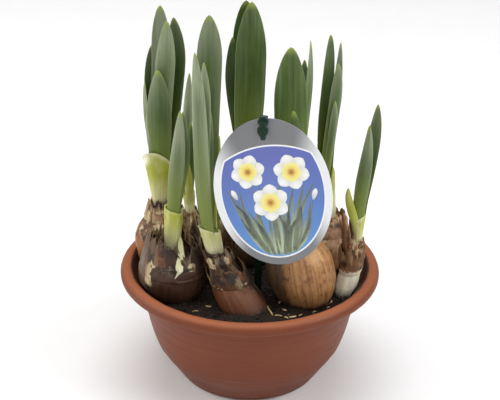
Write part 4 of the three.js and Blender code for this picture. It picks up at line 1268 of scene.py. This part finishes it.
def hanging_tatter(plant, number):
    """A torn strip of the sheath that hangs over the bulb: a flat oval section carried down a smooth curve.

    The strip widens to 0.85 of its length. Each point is then moved along it by noise times the fifth power of
    the share s, which leaves most of the strip whole and tears its end."""
    bulb, sheath, facing = plant["bulb"], plant["sheath"], np.radians([58.0, 42, 27, 19, 12, 7]) - math.pi / 2
    around = together(np.cos(facing), np.sin(facing), 0.0)
    on_sheath = shoot_centre(plant, np.array([0.34, 0.14])) + around[:2] * (sheath["base"].max() + [[0.5], [3.4]])
    on_bulb = bulb_point(bulb, np.array([0.98, 0.92, 0.85, 0.785]), facing[2:], np.array([6.2, 6.2, 5.2, 3.2]))
    spine = smooth_through(np.vstack([on_sheath, on_bulb]), TATTER_ROWS)
    along = np.gradient(spine, axis=0)
    across = unit(np.cross(around[3:4], along))
    normal = unit(np.cross(along, across))
    s, turn = np.linspace(0, 1, TATTER_ROWS)[:, None], angles_round(TATTER_SIDES)[None, :]
    ragged = cloud(together(2 * s, np.cos(turn), number), 0.4, 21)
    half = np.interp(s, [0, 0.12, 0.5, 0.85, 1], [0.3, 1.6, 3.1, 3.6, 2.6]) * (1 + 0.4 * s * ragged)
    torn = 6.0 * s**5 * cloud(together(2 * np.cos(turn), number, 0 * s), 1.0, 22)
    points = spine[:, None] + across[:, None] * (half * np.cos(turn))[..., None]
    points = points + normal[:, None] * (0.4 * np.sin(turn) + 0.3 * np.cos(2 * turn))[..., None]
    points = points + torn[..., None] * unit(along)[:, None]
    blade = together(half * np.cos(turn), 30 * s, 7.0 * number)
    return tube(points, {"blade": blade, "lip": 0.45 * s, "rise": 0.45 * (1 - s), "tipped": 0})


def pale_spike(plant, leaf, number):
    """A short pale leaf tip beside the sheath, with the sheath's own numbers."""
    spike = strap_leaf(plant, leaf, number, 0.5)
    rise = spike["values"]["rise"]
    spike["values"] = {"blade": spike["values"]["blade"], "lip": 0 * rise, "rise": 0.5 + rise, "tipped": rise}
    return spike


# %% [markdown]
# The membrane lets a little light through, so its shader scatters light under the surface. The colour follows the
# height in the sheath, and a pale lip is laid over it along the mouth.

# %% Sheath finish
def sheath_finish():
    """Cream to yellow-green, with faint lengthwise ribs and a pale lip that lets light through."""
    material, tree, shader = start_finish(
        "pale sheath", Specular_IOR_Level=0.45,
        Subsurface_Weight=0.25, Subsurface_Radius=(0.003, 0.003, 0.0012), Subsurface_Scale=1.0,
    )
    blade, rise = carried(tree, "blade", "Vector"), carried(tree, "rise")
    ribs = drawn_out(tree, blade, (1.6, 0.02, 1))
    cloudy = drawn_out(tree, blade, (0.14, 0.05, 1))
    colour = painted(
        tree, blend(tree, step_up(tree, rise, 0.0, 0.6), (226, 220, 180), (204, 202, 132)),
        (step_up(tree, rise, 0.42, 1.0), (172, 176, 44)),
        (step_up(tree, ribs, 0.4, 0.65, 0.0, 0.4), (158, 162, 88)),
        (step_up(tree, cloudy, 0.45, 0.7, 0.0, 0.4), (230, 224, 172)),
        (times(tree, carried(tree, "lip"), 0.6), (246, 242, 212)),
        (times(tree, carried(tree, "tipped"), 0.7), (160, 167, 82)),
    )
    roughness = step_up(tree, cloudy, 0.3, 0.7, 0.38, 0.52)
    plug(tree, shader, Base_Color=colour, Roughness=roughness, Normal=raised(tree, ribs, 0.3, 0.0006))
    return material


sheath_material = sheath_finish()
for number, (name, plant) in enumerate(PLANTS.items()):
    sleeves = [sheath_sleeve(plant, MOUTHS.get(name, PLAIN_MOUTH), number)]
    sleeves += [pale_spike(plant, leaf, 80 + number) for leaf in plant["sheath"]["spikes"]]
    sleeves += [hanging_tatter(plant, number)] if name == "left_front" else []
    make_piece(f"{name}_sheath", sleeves, sheath_material, [f"sheath_{name}"])

# %% [markdown]
# ## Crumbs, bark and straw on the soil
# Hundreds of crumbs need few faces each: a lumpy twenty-sided stone is enough. All of them are worked out at once,
# by turning and stretching one base shape with arrays of random numbers. A particle system would scatter them too,
# but it leaves them inside the bulbs. Here, places inside a bulb are left out.

# %% One stone
def twenty_sided():
    """The corners and faces of a regular twenty-sided solid of radius 1."""
    gold = (1 + 5**0.5) / 2
    base = np.array([[-1, gold, 0], [1, gold, 0], [-1, -gold, 0], [1, -gold, 0]], float)
    corners = np.vstack([base, np.roll(base, 1, axis=1), np.roll(base, 2, axis=1)])
    faces = [[0, 11, 5], [0, 5, 1], [0, 1, 7], [0, 7, 10], [0, 10, 11], [1, 5, 9], [5, 11, 4], [11, 10, 2],
             [10, 7, 6], [7, 1, 8], [3, 9, 4], [3, 4, 2], [3, 2, 6], [3, 6, 8], [3, 8, 9], [4, 9, 5], [2, 4, 11],
             [6, 2, 10], [8, 6, 7], [9, 8, 1]]
    return corners / math.hypot(1, gold), np.array(faces)


stone_corners, stone_faces = twenty_sided()
print("one stone:", stone_corners.shape, stone_faces.shape)

# %% Scattering
SCATTER_EDGE = 75.5
rng = np.random.default_rng(17)


def turned_at_random(count):
    """One random turn for each item, from random unit quaternions."""
    w, x, y, z = unit(rng.normal(size=(count, 4))).T
    return np.array([
        [1 - 2 * (y * y + z * z), 2 * (x * y - z * w), 2 * (x * z + y * w)],
        [2 * (x * y + z * w), 1 - 2 * (x * x + z * z), 2 * (y * z - x * w)],
        [2 * (x * z - y * w), 2 * (y * z + x * w), 1 - 2 * (x * x + y * y)],
    ]).transpose(2, 0, 1)


def free_places(count, edge):
    """Random places on the soil, evenly spread, that aren't inside a bulb."""
    radius, angle = edge * np.sqrt(rng.random(4 * count)), 2 * np.pi * rng.random(4 * count)
    x, y = radius * np.cos(angle), radius * np.sin(angle)
    free = np.ones(len(x), bool)
    for plant in PLANTS.values():
        bulb = plant["bulb"]
        t = (SOIL_LEVEL - bulb["foot"][2]) / (bulb["neck"][2] - bulb["foot"][2])
        middle = bulb["foot"] + (bulb["neck"] - bulb["foot"]) * t
        rim = np.abs(bulb_point(bulb, np.array([t]), np.array([0.0]), 0.0)[0, 0] - middle[0])
        free &= np.hypot(x - middle[0], y - middle[1]) > rim - 0.5
    return x[free][:count], y[free][:count]


def scattered(sizes, x, y, sink, lumpy):
    """One part of many stones: the base shape, made lumpy, stretched, turned and put on the soil."""
    count, corners = len(x), len(stone_corners)
    lumps = 1 + lumpy * (rng.random((count, corners, 1)) - 0.5)
    shapes = np.einsum("nij,nkj->nki", turned_at_random(count), stone_corners[None] * lumps * sizes[:, None, :])
    lift = crumbled(x, y) + sizes.mean(axis=1) * sink
    points = shapes + together(x, y, lift)[:, None]
    triangles = (stone_faces[None] + corners * np.arange(count)[:, None, None]).reshape(-1, 3)
    shade = np.repeat(rng.random((count, 1)), corners, axis=1)
    return {"points": points.reshape(-1, 3), "quads": np.empty((0, 4), int), "triangles": triangles,
            "values": {"shade": shade.reshape(-1, 1)}}


# %% Crumb finish
def crumb_finish(name, deep, light, roughness):
    """One colour range for a heap of bits: each bit takes its own shade, with fine grain on it."""
    material, tree, shader = start_finish(name, Roughness=roughness, Specular_IOR_Level=0.3)
    grain = speckle(tree, object_place(tree), 900.0, 3.0)
    tone = plus(tree, times(tree, grain, 0.5), times(tree, carried(tree, "shade"), 0.5))
    colour = blend(tree, step_up(tree, tone, 0.2, 0.85), deep, light)
    plug(tree, shader, Base_Color=colour, Normal=raised(tree, grain, 0.6, 0.0005))
    return material


# %% Crumbs and bark
CRUMBS, CHIPS = 1500, 120
x, y = free_places(CRUMBS, SCATTER_EDGE)
sizes = (0.35 + 1.0 * rng.random((len(x), 1)) ** 3) * (0.7 + 0.6 * rng.random((len(x), 3)))
crumbs = [scattered(sizes, x, y, sink=0.25, lumpy=0.5)]
soil_brown, bark_brown = ((16, 12, 10), (52, 40, 32)), ((46, 32, 24), (98, 71, 50))
make_piece("soil_crumbs", crumbs, crumb_finish("soil crumbs", *soil_brown, 0.9), sharp_angle=CRISP_EDGE)

x, y = free_places(CHIPS, SCATTER_EDGE - 1.5)
length, width, height = (low + more * rng.random(len(x)) for low, more in ((0.9, 1.8), (0.5, 0.8), (0.25, 0.2)))
chips = [scattered(together(length, width, height), x, y, sink=0.3, lumpy=0.4)]
make_piece("bark_chips", chips, crumb_finish("bark chips", *bark_brown, 0.85), sharp_angle=CRISP_EDGE)

# %% [markdown]
# Straw is a bundle of short bent stalks. Most lie near the front wall, as pale strokes on the dark soil. Each is a
# thin tube along its own curved line, and they are worked out together like the crumbs.

# %% Straw
STRAWS, STRAW_ROWS, STRAW_SIDES = 26, 7, 5
STRAW_PLACED = [  # each piece that shows at the front: place, heading in degrees and length
    ((20.5, -58.1), 1, 5.2), ((30.4, -56.2), 22, 5.6), ((36.2, -53.3), 38, 3.0), ((57.5, -41.8), 33, 5.4),
    ((13.7, -48.4), -75, 21.0), ((26.0, -58.6), -20, 3.0), ((46.0, -50.0), 40, 3.6),
]


def straw_lines():
    """Place, heading and length of every stalk: those listed, then the scattered ones."""
    x, y = free_places(STRAWS, 70.0)
    x = np.concatenate([[place[0] for place, _, _ in STRAW_PLACED], x])
    y = np.concatenate([[place[1] for place, _, _ in STRAW_PLACED], y])
    loose = len(x) - len(STRAW_PLACED)
    heading = np.concatenate([np.radians([turn for _, turn, _ in STRAW_PLACED]), np.pi * rng.random(loose)])
    length = np.concatenate([[long for _, _, long in STRAW_PLACED], 1.6 + 3.2 * rng.random(loose)])
    return x[:, None], y[:, None], heading[:, None], length[:, None]


def straw_part():
    """Tubes of five sides along slightly bowed lines, flattened, resting on the crumbs.

    Along a line from -0.5 to 0.5 the bow is 1 - 4 s squared, and the stalk narrows with (2 s) to the power 4."""
    x, y, heading, length = straw_lines()
    count = len(x)
    s = np.linspace(-0.5, 0.5, STRAW_ROWS)[None, :]
    bow = (rng.random((count, 1)) - 0.5) * np.minimum(2.0, 0.5 * length)
    forward, sideways = s * length, bow * (1 - 4 * s**2)
    x = x + forward * np.cos(heading) - sideways * np.sin(heading)
    y = y + forward * np.sin(heading) + sideways * np.cos(heading)
    held = np.minimum(1, SCATTER_EDGE / np.hypot(x, y))
    x, y = x * held, y * held
    z = crumbled(x, y).max(axis=1, keepdims=True) * 0.5 + crumbled(x, y) * 0.5 + 0.35
    turn, heading = angles_round(STRAW_SIDES), heading[:, None]
    wide = (0.5 + 0.3 * rng.random((count, 1, 1))) * (1 - 0.5 * (2 * s[..., None]) ** 4)
    offset = together(-np.sin(heading) * wide * np.cos(turn), np.cos(heading) * wide * np.cos(turn),
                      0.55 * wide * np.sin(turn))
    rings = together(x, y, z)[:, :, None] + offset
    index = np.arange(count * STRAW_ROWS * STRAW_SIDES).reshape(count, STRAW_ROWS, STRAW_SIDES)
    beside = np.roll(index, -1, axis=2)
    quads = together(index[:, :-1], beside[:, :-1], beside[:, 1:], index[:, 1:]).reshape(-1, 4)
    fan = np.array([[0, 2, 1], [0, 3, 2], [0, 4, 3]])
    ends = np.concatenate([index[:, 0][:, fan], index[:, -1][:, fan[:, ::-1]]]).reshape(-1, 3)
    shade = np.repeat(rng.random((count, 1)), STRAW_ROWS * STRAW_SIDES, axis=1)
    return {"points": rings.reshape(-1, 3), "quads": quads, "triangles": ends,
            "values": {"shade": shade.reshape(-1, 1)}}


make_piece("straw_bits", [straw_part()], crumb_finish("straw", (176, 146, 98), (234, 210, 160), 0.7))

# %% [markdown]
# ## The label
# The label is a thin plastic card: an oval with a hole, printed with a silver border, a thin white line and a blue
# picture of white and yellow narcissus blooms. Print is flat, and it could be a texture, but colour painted on fine
# shapes stays sharp from near by. So each printed area is its own paper-thin shape, a few hundredths of a
# millimetre above the one below it. The picture is a plain design of its own, with no lettering.

# %% Label plane
CARD_HALF = np.array([41.0, 52.0])
CARD_THICKNESS = 0.8
CARD_CENTRE = np.array([15.0, -48.0, 168.3])
CARD_YAW, CARD_LEAN, CARD_TURN = math.radians(11), math.radians(9), math.radians(11.5)
CARD_HOLE_RADIUS, CARD_HOLE_UP = 3.5, 43.7


def turn_about(axis, angle):
    """The usual 3 x 3 turn about X or Z."""
    c, s = math.cos(angle), math.sin(angle)
    return np.array([[1, 0, 0], [0, c, -s], [0, s, c]] if axis == "x" else [[c, -s, 0], [s, c, 0], [0, 0, 1]])


card_axes = turn_about("z", -CARD_YAW) @ turn_about("x", math.pi / 2 - CARD_LEAN) @ turn_about("z", CARD_TURN)


def on_card(points):
    """Points given across, up and out of the card's face, placed in the frame."""
    return points @ card_axes.T + CARD_CENTRE


def with_depth(flat, out):
    """Points across and up the card, with how far they are out of it."""
    return together(flat[..., 0], flat[..., 1], out)


print("the card faces", card_axes[:, 2].round(3))


# %% Card body
CARD_SIDES, CARD_ROUND, FACE_ROWS, ROUND_ROWS = 420, 0.25, 14, 7


def oval_reach(start, direction, half, centre=(0.0, 0.0)):
    """How far a ray goes from a point inside an oval to its edge: the far root of the oval's equation."""
    p, d = (start - np.asarray(centre)) / half, direction / half
    a, b, c = (d * d).sum(-1), (p * d).sum(-1), (p * p).sum(-1) - 1
    return (-b + np.sqrt(b * b - a * c)) / a


def card_body():
    """Rays from the hole to the oval's edge, carried across the face, over the round edge and back behind."""
    around = angles_round(CARD_SIDES)
    rim = CARD_HALF * together(np.cos(around), np.sin(around))
    hole = np.array([0.0, CARD_HOLE_UP])
    reach = np.linalg.norm(rim - hole, axis=1, keepdims=True)
    bend, spread = np.linspace(0, np.pi, ROUND_ROWS), np.linspace(0, 1, FACE_ROWS)
    front = CARD_HOLE_RADIUS + (reach - CARD_ROUND - CARD_HOLE_RADIUS) * spread
    edge = reach - CARD_ROUND + CARD_ROUND * np.sin(bend)
    far = np.concatenate([front, edge, front[:, ::-1]], axis=1).T
    half_thick = CARD_THICKNESS / 2
    out = np.concatenate([np.full(FACE_ROWS, half_thick), half_thick * np.cos(bend), np.full(FACE_ROWS, -half_thick)])
    points = with_depth(hole + unit(rim - hole)[None] * far[..., None], out[:, None])
    return tube(on_card(points)[::-1], {"card": points[::-1]}, ring_loop=True)


print("card:", 2 * CARD_HALF, "mm")

# %% [markdown]
# Silver print mirrors the two bright sides of the studio, so it is painted bright at the sides and grey at the top
# and bottom. All print lies under a clear glossy film, which is the shader's coat.

# %% Card finish
FILM = {"Coat_Weight": 0.3, "Coat_Roughness": 0.15}


def card_finish():
    """Silver print: bright at the sides and grey at the top and bottom, white plastic behind, glossy film."""
    material, tree, shader = start_finish("silver card", **FILM)
    card = carried(tree, "card", "Vector")
    across, up, out = add(tree, "SeparateXYZ", {0: card}).outputs
    sideways = sums(tree, "DIVIDE", sums(tree, "ABSOLUTE", across), float(CARD_HALF[0]))
    upwards = sums(tree, "ABSOLUTE", sums(tree, "DIVIDE", up, float(CARD_HALF[1])))
    glow = sums(tree, "SUBTRACT", times(tree, sideways, 1.1), times(tree, upwards, 0.55))
    flecks = speckle(tree, card, 3.0, 2.0)
    colour = painted(
        tree, blend(tree, step_up(tree, glow, 0.12, 0.82), (112, 113, 116), (240, 241, 242)),
        (step_up(tree, flecks, 0.35, 0.65, 0.0, 0.18), (196, 197, 200)),
        (step_up(tree, out, -0.05, 0.05, 1.0, 0.0), (236, 236, 233)),
    )
    plug(tree, shader, Base_Color=colour, Roughness=step_up(tree, flecks, 0.3, 0.7, 0.3, 0.42))
    return material


make_piece("label_card_body", [card_body()], card_finish(), ["label_card"])

# %% [markdown]
# The picture's panel is an oval cut off by a shallow arc at its top. From a middle point, the edge in any direction
# is the nearer of the oval and the arc, so one ray per angle draws both. Flat shapes of that kind are stacked as
# closed plates: the white line is a slightly larger panel under the blue one.

# %% Printed plates
PRINT_STEP = 0.06
LAYERS = ["card", "white line", "blue panel", "stems", "back petals", "front petals", "cups", "hearts"]


def print_height(layer):
    """How far a printed layer's face is from the card's middle: half the card, and a step for each layer."""
    return CARD_THICKNESS / 2 + PRINT_STEP * LAYERS.index(layer)


def plate(middle, reach, angles, low, high, rows=6):
    """A closed flat plate: rays from the middle to the outline, on the front and back, with a wall between."""
    share = np.concatenate([np.linspace(0.02, 1, rows), np.linspace(1, 0.02, rows)])[:, None]
    ray = together(np.cos(angles), np.sin(angles))
    return with_depth(np.asarray(middle) + ray * (share * reach)[..., None], np.repeat([low, high], rows)[:, None])


def printed(points, **numbers):
    """A closed shape on the card that carries its own places on the card, and other numbers for its finish."""
    return tube(on_card(points), {"card": points, **numbers})


def make_print(name, shapes, finish):
    """A printed piece, which keeps its edges crisp."""
    make_piece(name, shapes, finish, sharp_angle=CRISP_EDGE)


# %% Panel and its white line
PANEL_HALF, PANEL_MIDDLE, PANEL_SIDES = np.array([35.4, 45.8]), np.array([0.0, -6.0]), 360
PANEL_SINK, WHITE_LINE = 0.02, 1.1
ARC_RADIUS, ARC_TOP = 61.8, 32.3


def panel_reach(angles, grow):
    """The distance from the panel's middle to its edge, and a margin: the oval or the arc, whichever is nearer."""
    ray = together(np.cos(angles), np.sin(angles))
    oval = oval_reach(PANEL_MIDDLE, ray, PANEL_HALF + grow)
    arc = oval_reach(PANEL_MIDDLE, ray, np.full(2, ARC_RADIUS + grow), (0.0, ARC_TOP - ARC_RADIUS))
    return np.minimum(oval, arc)


def panel(grow, layer):
    """The panel's plate in a layer, a margin larger or smaller, sunk a little into the card."""
    angles, low = angles_round(PANEL_SIDES), print_height("card") - PANEL_SINK
    return printed(plate(PANEL_MIDDLE, panel_reach(angles, grow), angles, low, print_height(layer), rows=12))


def print_finish(name, shade):
    """A printed film: the colour comes from the card's own across and up numbers."""
    material, tree, shader = start_finish(name, **FILM)
    across, up, _ = add(tree, "SeparateXYZ", {0: carried(tree, "card", "Vector")}).outputs
    dots = speckle(tree, carried(tree, "card", "Vector"), 2.0, 2.0)
    colour = shade(tree, across, up, dots)
    plug(tree, shader, Base_Color=colour, Roughness=step_up(tree, dots, 0.3, 0.7, 0.32, 0.44))
    return material


def white_shade(tree, across, up, dots):
    """White with the faintest grey grain."""
    return blend(tree, step_up(tree, dots, 0.3, 0.7), (250, 250, 250), (240, 241, 243))


def sky_shade(tree, across, up, dots):
    """Periwinkle at the top, light blue at the bottom, a little deeper at the sides."""
    return painted(
        tree, blend(tree, step_up(tree, up, -46.0, 30.0), (92, 152, 214), (98, 106, 180)),
        (step_up(tree, sums(tree, "ABSOLUTE", across), 5.0, 36.0, 0.0, 0.35), (70, 100, 180)),
        (step_up(tree, dots, 0.35, 0.65, 0.0, 0.1), (140, 160, 214)),
    )


make_print("label_white_line", [panel(WHITE_LINE, "white line")], print_finish("white print", white_shade))
make_print("label_blue_panel", [panel(0.0, "blue panel")], print_finish("blue print", sky_shade))

# %% [markdown]
# The picture itself is generic: three blooms and two buds over a fan of leaves. A bloom seen from the front is six
# petals round a frilled cup. Each petal is a plate whose reach is a pointed oval, and the shading is darker towards
# the cup. Stems and leaves are tapering bands along curves.

# %% Petals and cups
def band_part(spine, half, sideways, layer, tone):
    """A flat closed band: a five-cornered section carried along a line on the card, with a tone for its print."""
    low, high = print_height("card"), print_height(layer)
    section = np.array([[-1, low], [1, low], [1, high], [0, high], [-1, high]])
    flat = spine[:, None] + sideways[:, None] * (half[:, None] * section[:, 0])[..., None]
    return printed(with_depth(flat, section[:, 1]), tone=tone[:, None], middle=np.abs(section[:, 0])[None])


def petal(centre, heading, length, width, layer):
    """A broad petal: a sine opens it up to 0.6 of its length, and a slightly pointed half oval closes it."""
    along = 1 - (1 - np.linspace(0.0, 1.0, 30)) ** 1.5
    opening = np.sin(np.pi / 2 * np.minimum(1, along / 0.6)) ** 0.7
    closing = np.sqrt(np.clip(1 - ((along - 0.6) / 0.4) ** 2, 0, 1)) ** 1.35
    wide = np.where(along < 0.6, opening, closing) * width / 2 + 0.02
    forward = np.array([math.cos(heading), math.sin(heading)])
    sideways = np.array([-forward[1], forward[0]])
    spine = np.asarray(centre) + forward * (along * length)[:, None]
    return band_part(spine, wide, sideways[None], layer, along)


def cup(centre, radius, layer, frill, tone):
    """A round plate with a wavy edge: reach = radius times 1 + frill cos 11 a + half the frill cos (5 a + 1)."""
    angles = angles_round(88)
    reach = radius * (1 + frill * np.cos(11 * angles) + 0.5 * frill * np.cos(5 * angles + 1))
    points = plate(centre, reach, angles, print_height("card"), print_height(layer), rows=5)
    from_middle = np.hypot(points[..., 0] - centre[0], points[..., 1] - centre[1]) / radius
    return printed(points, tone=from_middle * tone, middle=0)


def toned_finish(name, near, far, centre_dark=0.0):
    """Print that goes from one colour to another with the tone number, darker towards the band's edges."""
    material, tree, shader = start_finish(name, **FILM, Roughness=0.38)
    dots = speckle(tree, carried(tree, "card", "Vector"), 1.6, 3.0)
    tone = plus(tree, carried(tree, "tone"), swing(tree, dots, 0.5))
    colour = blend(tree, step_up(tree, tone, 0.05, 0.85), near, far)
    colour = blend(tree, times(tree, carried(tree, "middle"), centre_dark), colour, near)
    plug(tree, shader, Base_Color=colour)
    return material


# %% Blooms
BLOOMS = [((-15.0, 16.0), 12.0, 0.2), ((15.0, 13.0), 12.5, 0.75), ((-2.5, -7.0), 13.0, 0.45)]
BUDS = [((-25.0, -3.0), 2.0, 8.0), ((27.0, -8.0), 1.2, 8.5)]

petals, cups, hearts = {"back petals": [], "front petals": []}, [], []
for centre, length, twist in BLOOMS:
    for k in range(6):
        layer = ("back petals", "front petals")[k % 2]
        petals[layer].append(petal(centre, twist + k * math.pi / 3, length, 0.8 * length, layer))
    cups.append(cup(centre, 0.53 * length, "cups", 0.08, 0.9))
    hearts.append(cup(centre, 0.2 * length, "hearts", 0.14, 0.8))
for centre, lean, length in BUDS:
    petals["front petals"].append(petal(centre, lean, length, 0.42 * length, "front petals"))

petal_print = toned_finish("petal print", (200, 202, 198), (248, 248, 246), 0.35)
make_print("label_back_petals", petals["back petals"], petal_print)
make_print("label_front_petals", petals["front petals"], petal_print)
make_print("label_cups", cups, toned_finish("cup print", (236, 198, 84), (246, 236, 146)))
make_print("label_hearts", hearts, toned_finish("heart print", (170, 112, 60), (226, 182, 84)))

# %% Printed stems
STEM_FEET = [(-9.0, -43.0), (-5.5, -44.0), (-2.0, -44.8), (2.0, -44.8), (5.5, -44.2), (9.0, -43.0)]
LEAF_ENDS = [
    (-31, 4), (-27, -6), (-23, 3), (-19, -12), (-13, -2), (-9, 5), (-5, -17), (3, -2), (6, 6), (9, -10), (14, 0),
    (18, -12), (22, 3), (25, -9), (30, 5), (-14, -20), (13, -21), (1, -14), (-25, -16), (24, -20),
]


def printed_band(start, end, bend, half):
    """A band along a bowed line between two points on the card, narrowing to its end."""
    along = np.linspace(0, 1, 30)
    start, end = np.asarray(start, float), np.asarray(end, float)
    run = end - start
    sideways = np.array([-run[1], run[0]]) / np.linalg.norm(run)
    spine = start + run * along[:, None] + sideways * (bend * np.sin(np.pi * along))[:, None]
    tangent = np.gradient(spine, axis=0)
    across = unit(together(-tangent[:, 1], tangent[:, 0]))
    wide = half * (1 - 0.75 * along**2.5) * (0.6 + 0.4 * np.sin(np.pi * along))
    return band_part(spine, wide, across, "stems", along)


green_bands = []
for k, end in enumerate(LEAF_ENDS):
    foot = STEM_FEET[min(5, int((end[0] + 33) / 11))]
    green_bands.append(printed_band(foot, end, (-1) ** k * (1.5 + k % 3), 2.5 - 0.25 * (k % 4)))
for foot, (end, _, _) in zip((1, 4, 2, 0, 5), BLOOMS + BUDS):
    green_bands.append(printed_band(STEM_FEET[foot], end, 2.5 - foot, 0.8))
make_print("label_stems", green_bands, toned_finish("stem print", (182, 194, 162), (88, 100, 106), 0.3))

# %% [markdown]
# ## The stake
# The card hangs on a dark green plastic stake. It stands in the soil behind the card, folds over the card's top
# edge and ends in a two-lobed button whose peg sits in the hole. It is one flat bar, so a rounded section is carried
# along the same path as in the solid, with the button's swellings in its width.

# %% Stake surface
STAKE_WIDTH, STAKE_THICKNESS, STAKE_OFFSET = 5.0, 1.5, 1.7
STAKE_FOOT = np.array([5.5, -10.0, 46.0])
KNOB_WIDTH, PEG_RADIUS = 6.6, 2.5
STAKE_ROWS, STAKE_SIDES, PEG_SIDES = 150, 28, 32
peg_axes = card_axes @ turn_about("z", -CARD_TURN)
peg_place = on_card(np.array([0.0, CARD_HOLE_UP, 0.0]))


def by_hole(up, out):
    """A point above the hole by up and out of the card by out, along the stake's own upright."""
    return peg_place + peg_axes[:, 1] * up + peg_axes[:, 2] * out


def stake_path():
    """The solid's path and widths: foot, bar, the fold over the card's edge, and the button's two lobes."""
    bend = CARD_HALF[1] - CARD_HOLE_UP - 0.3
    shoulder = by_hole(-14, -STAKE_OFFSET)
    path = [(STAKE_FOOT, 1.4), (STAKE_FOOT + (shoulder - STAKE_FOOT) * 0.12, STAKE_WIDTH)]
    path += [(STAKE_FOOT + (shoulder - STAKE_FOOT) * 0.6, STAKE_WIDTH), (shoulder, STAKE_WIDTH)]
    path.append((by_hole(bend - 1, -STAKE_OFFSET), STAKE_WIDTH))
    for turn in np.radians([30, 65, 90, 115, 150]):
        path.append((by_hole(bend + STAKE_OFFSET * math.sin(turn), -STAKE_OFFSET * math.cos(turn)), 5.6))
    lobe = KNOB_WIDTH + 0.6
    for up, width in ((bend - 1, lobe), (bend - 3, lobe), (bend - 5, 4.8), (1.6, lobe), (-1.6, lobe), (-3.7, 4.6)):
        path.append((by_hole(up, STAKE_OFFSET), width))
    return np.array([[*point, width] for point, width in path])


def stake_bar():
    """A rounded section carried along the path: u = cos a to a low power across, and the same of sin a in depth."""
    line = smooth_through(stake_path(), STAKE_ROWS)
    spine, width = line[:, :3], line[:, 3]
    along = unit(np.gradient(spine, axis=0))
    normal = unit(np.cross(peg_axes[:, 0], along))
    u, v = boxy(np.cos(angles_round(STAKE_SIDES))), boxy(np.sin(angles_round(STAKE_SIDES)))
    points = spine[:, None] + peg_axes[:, 0] * (u * width[:, None] / 2)[..., None]
    points = points + normal[:, None] * (v * STAKE_THICKNESS / 2)[None, :, None]
    return tube(points[::-1])


def stake_peg():
    """The short round peg through the hole, given by rows of its radius's share and its place out of the card."""
    turn = angles_round(PEG_SIDES)
    rows = np.array([[0.8, -1.2], [1.0, -1.0], [1.0, 0.5], [1.0, STAKE_OFFSET]])
    flat = PEG_RADIUS * rows[:, :1, None] * together(np.cos(turn), np.sin(turn))[None]
    return tube(peg_place + flat @ peg_axes[:, :2].T + rows[:, 1:, None] * peg_axes[:, 2])


print("stake:", round(float(np.linalg.norm(np.diff(stake_path()[:, :3], axis=0), axis=1).sum())), "mm of bar")

# %% [markdown]
# The stake's plastic is smoother than the bowl's, so it takes a sharper shine. Streaks along the bar vary both the
# green and the shine, as the flow in the mould does.

# %% Stake finish
def stake_finish():
    """Dark green moulded plastic, glossy, with slight streaks and dust."""
    material, tree, shader = start_finish("dark green plastic", Specular_IOR_Level=0.4)
    place = object_place(tree)
    streaks = drawn_out(tree, place, (300, 300, 40))
    overlay_share = step_up(tree, speckle(tree, place, 240.0, 4.0), 0.6, 0.75, 0.0, 0.15)
    colour = painted(tree, blend(tree, streaks, (8, 34, 23), (18, 50, 34)), (overlay_share, (70, 74, 60)))
    roughness = step_up(tree, streaks, 0.3, 0.7, 0.16, 0.32)
    plug(tree, shader, Base_Color=colour, Roughness=roughness, Normal=raised(tree, streaks, 0.15, 0.0004))
    return material


make_piece("label_stake_bar", [stake_bar(), stake_peg()], stake_finish(), ["label_stake"])
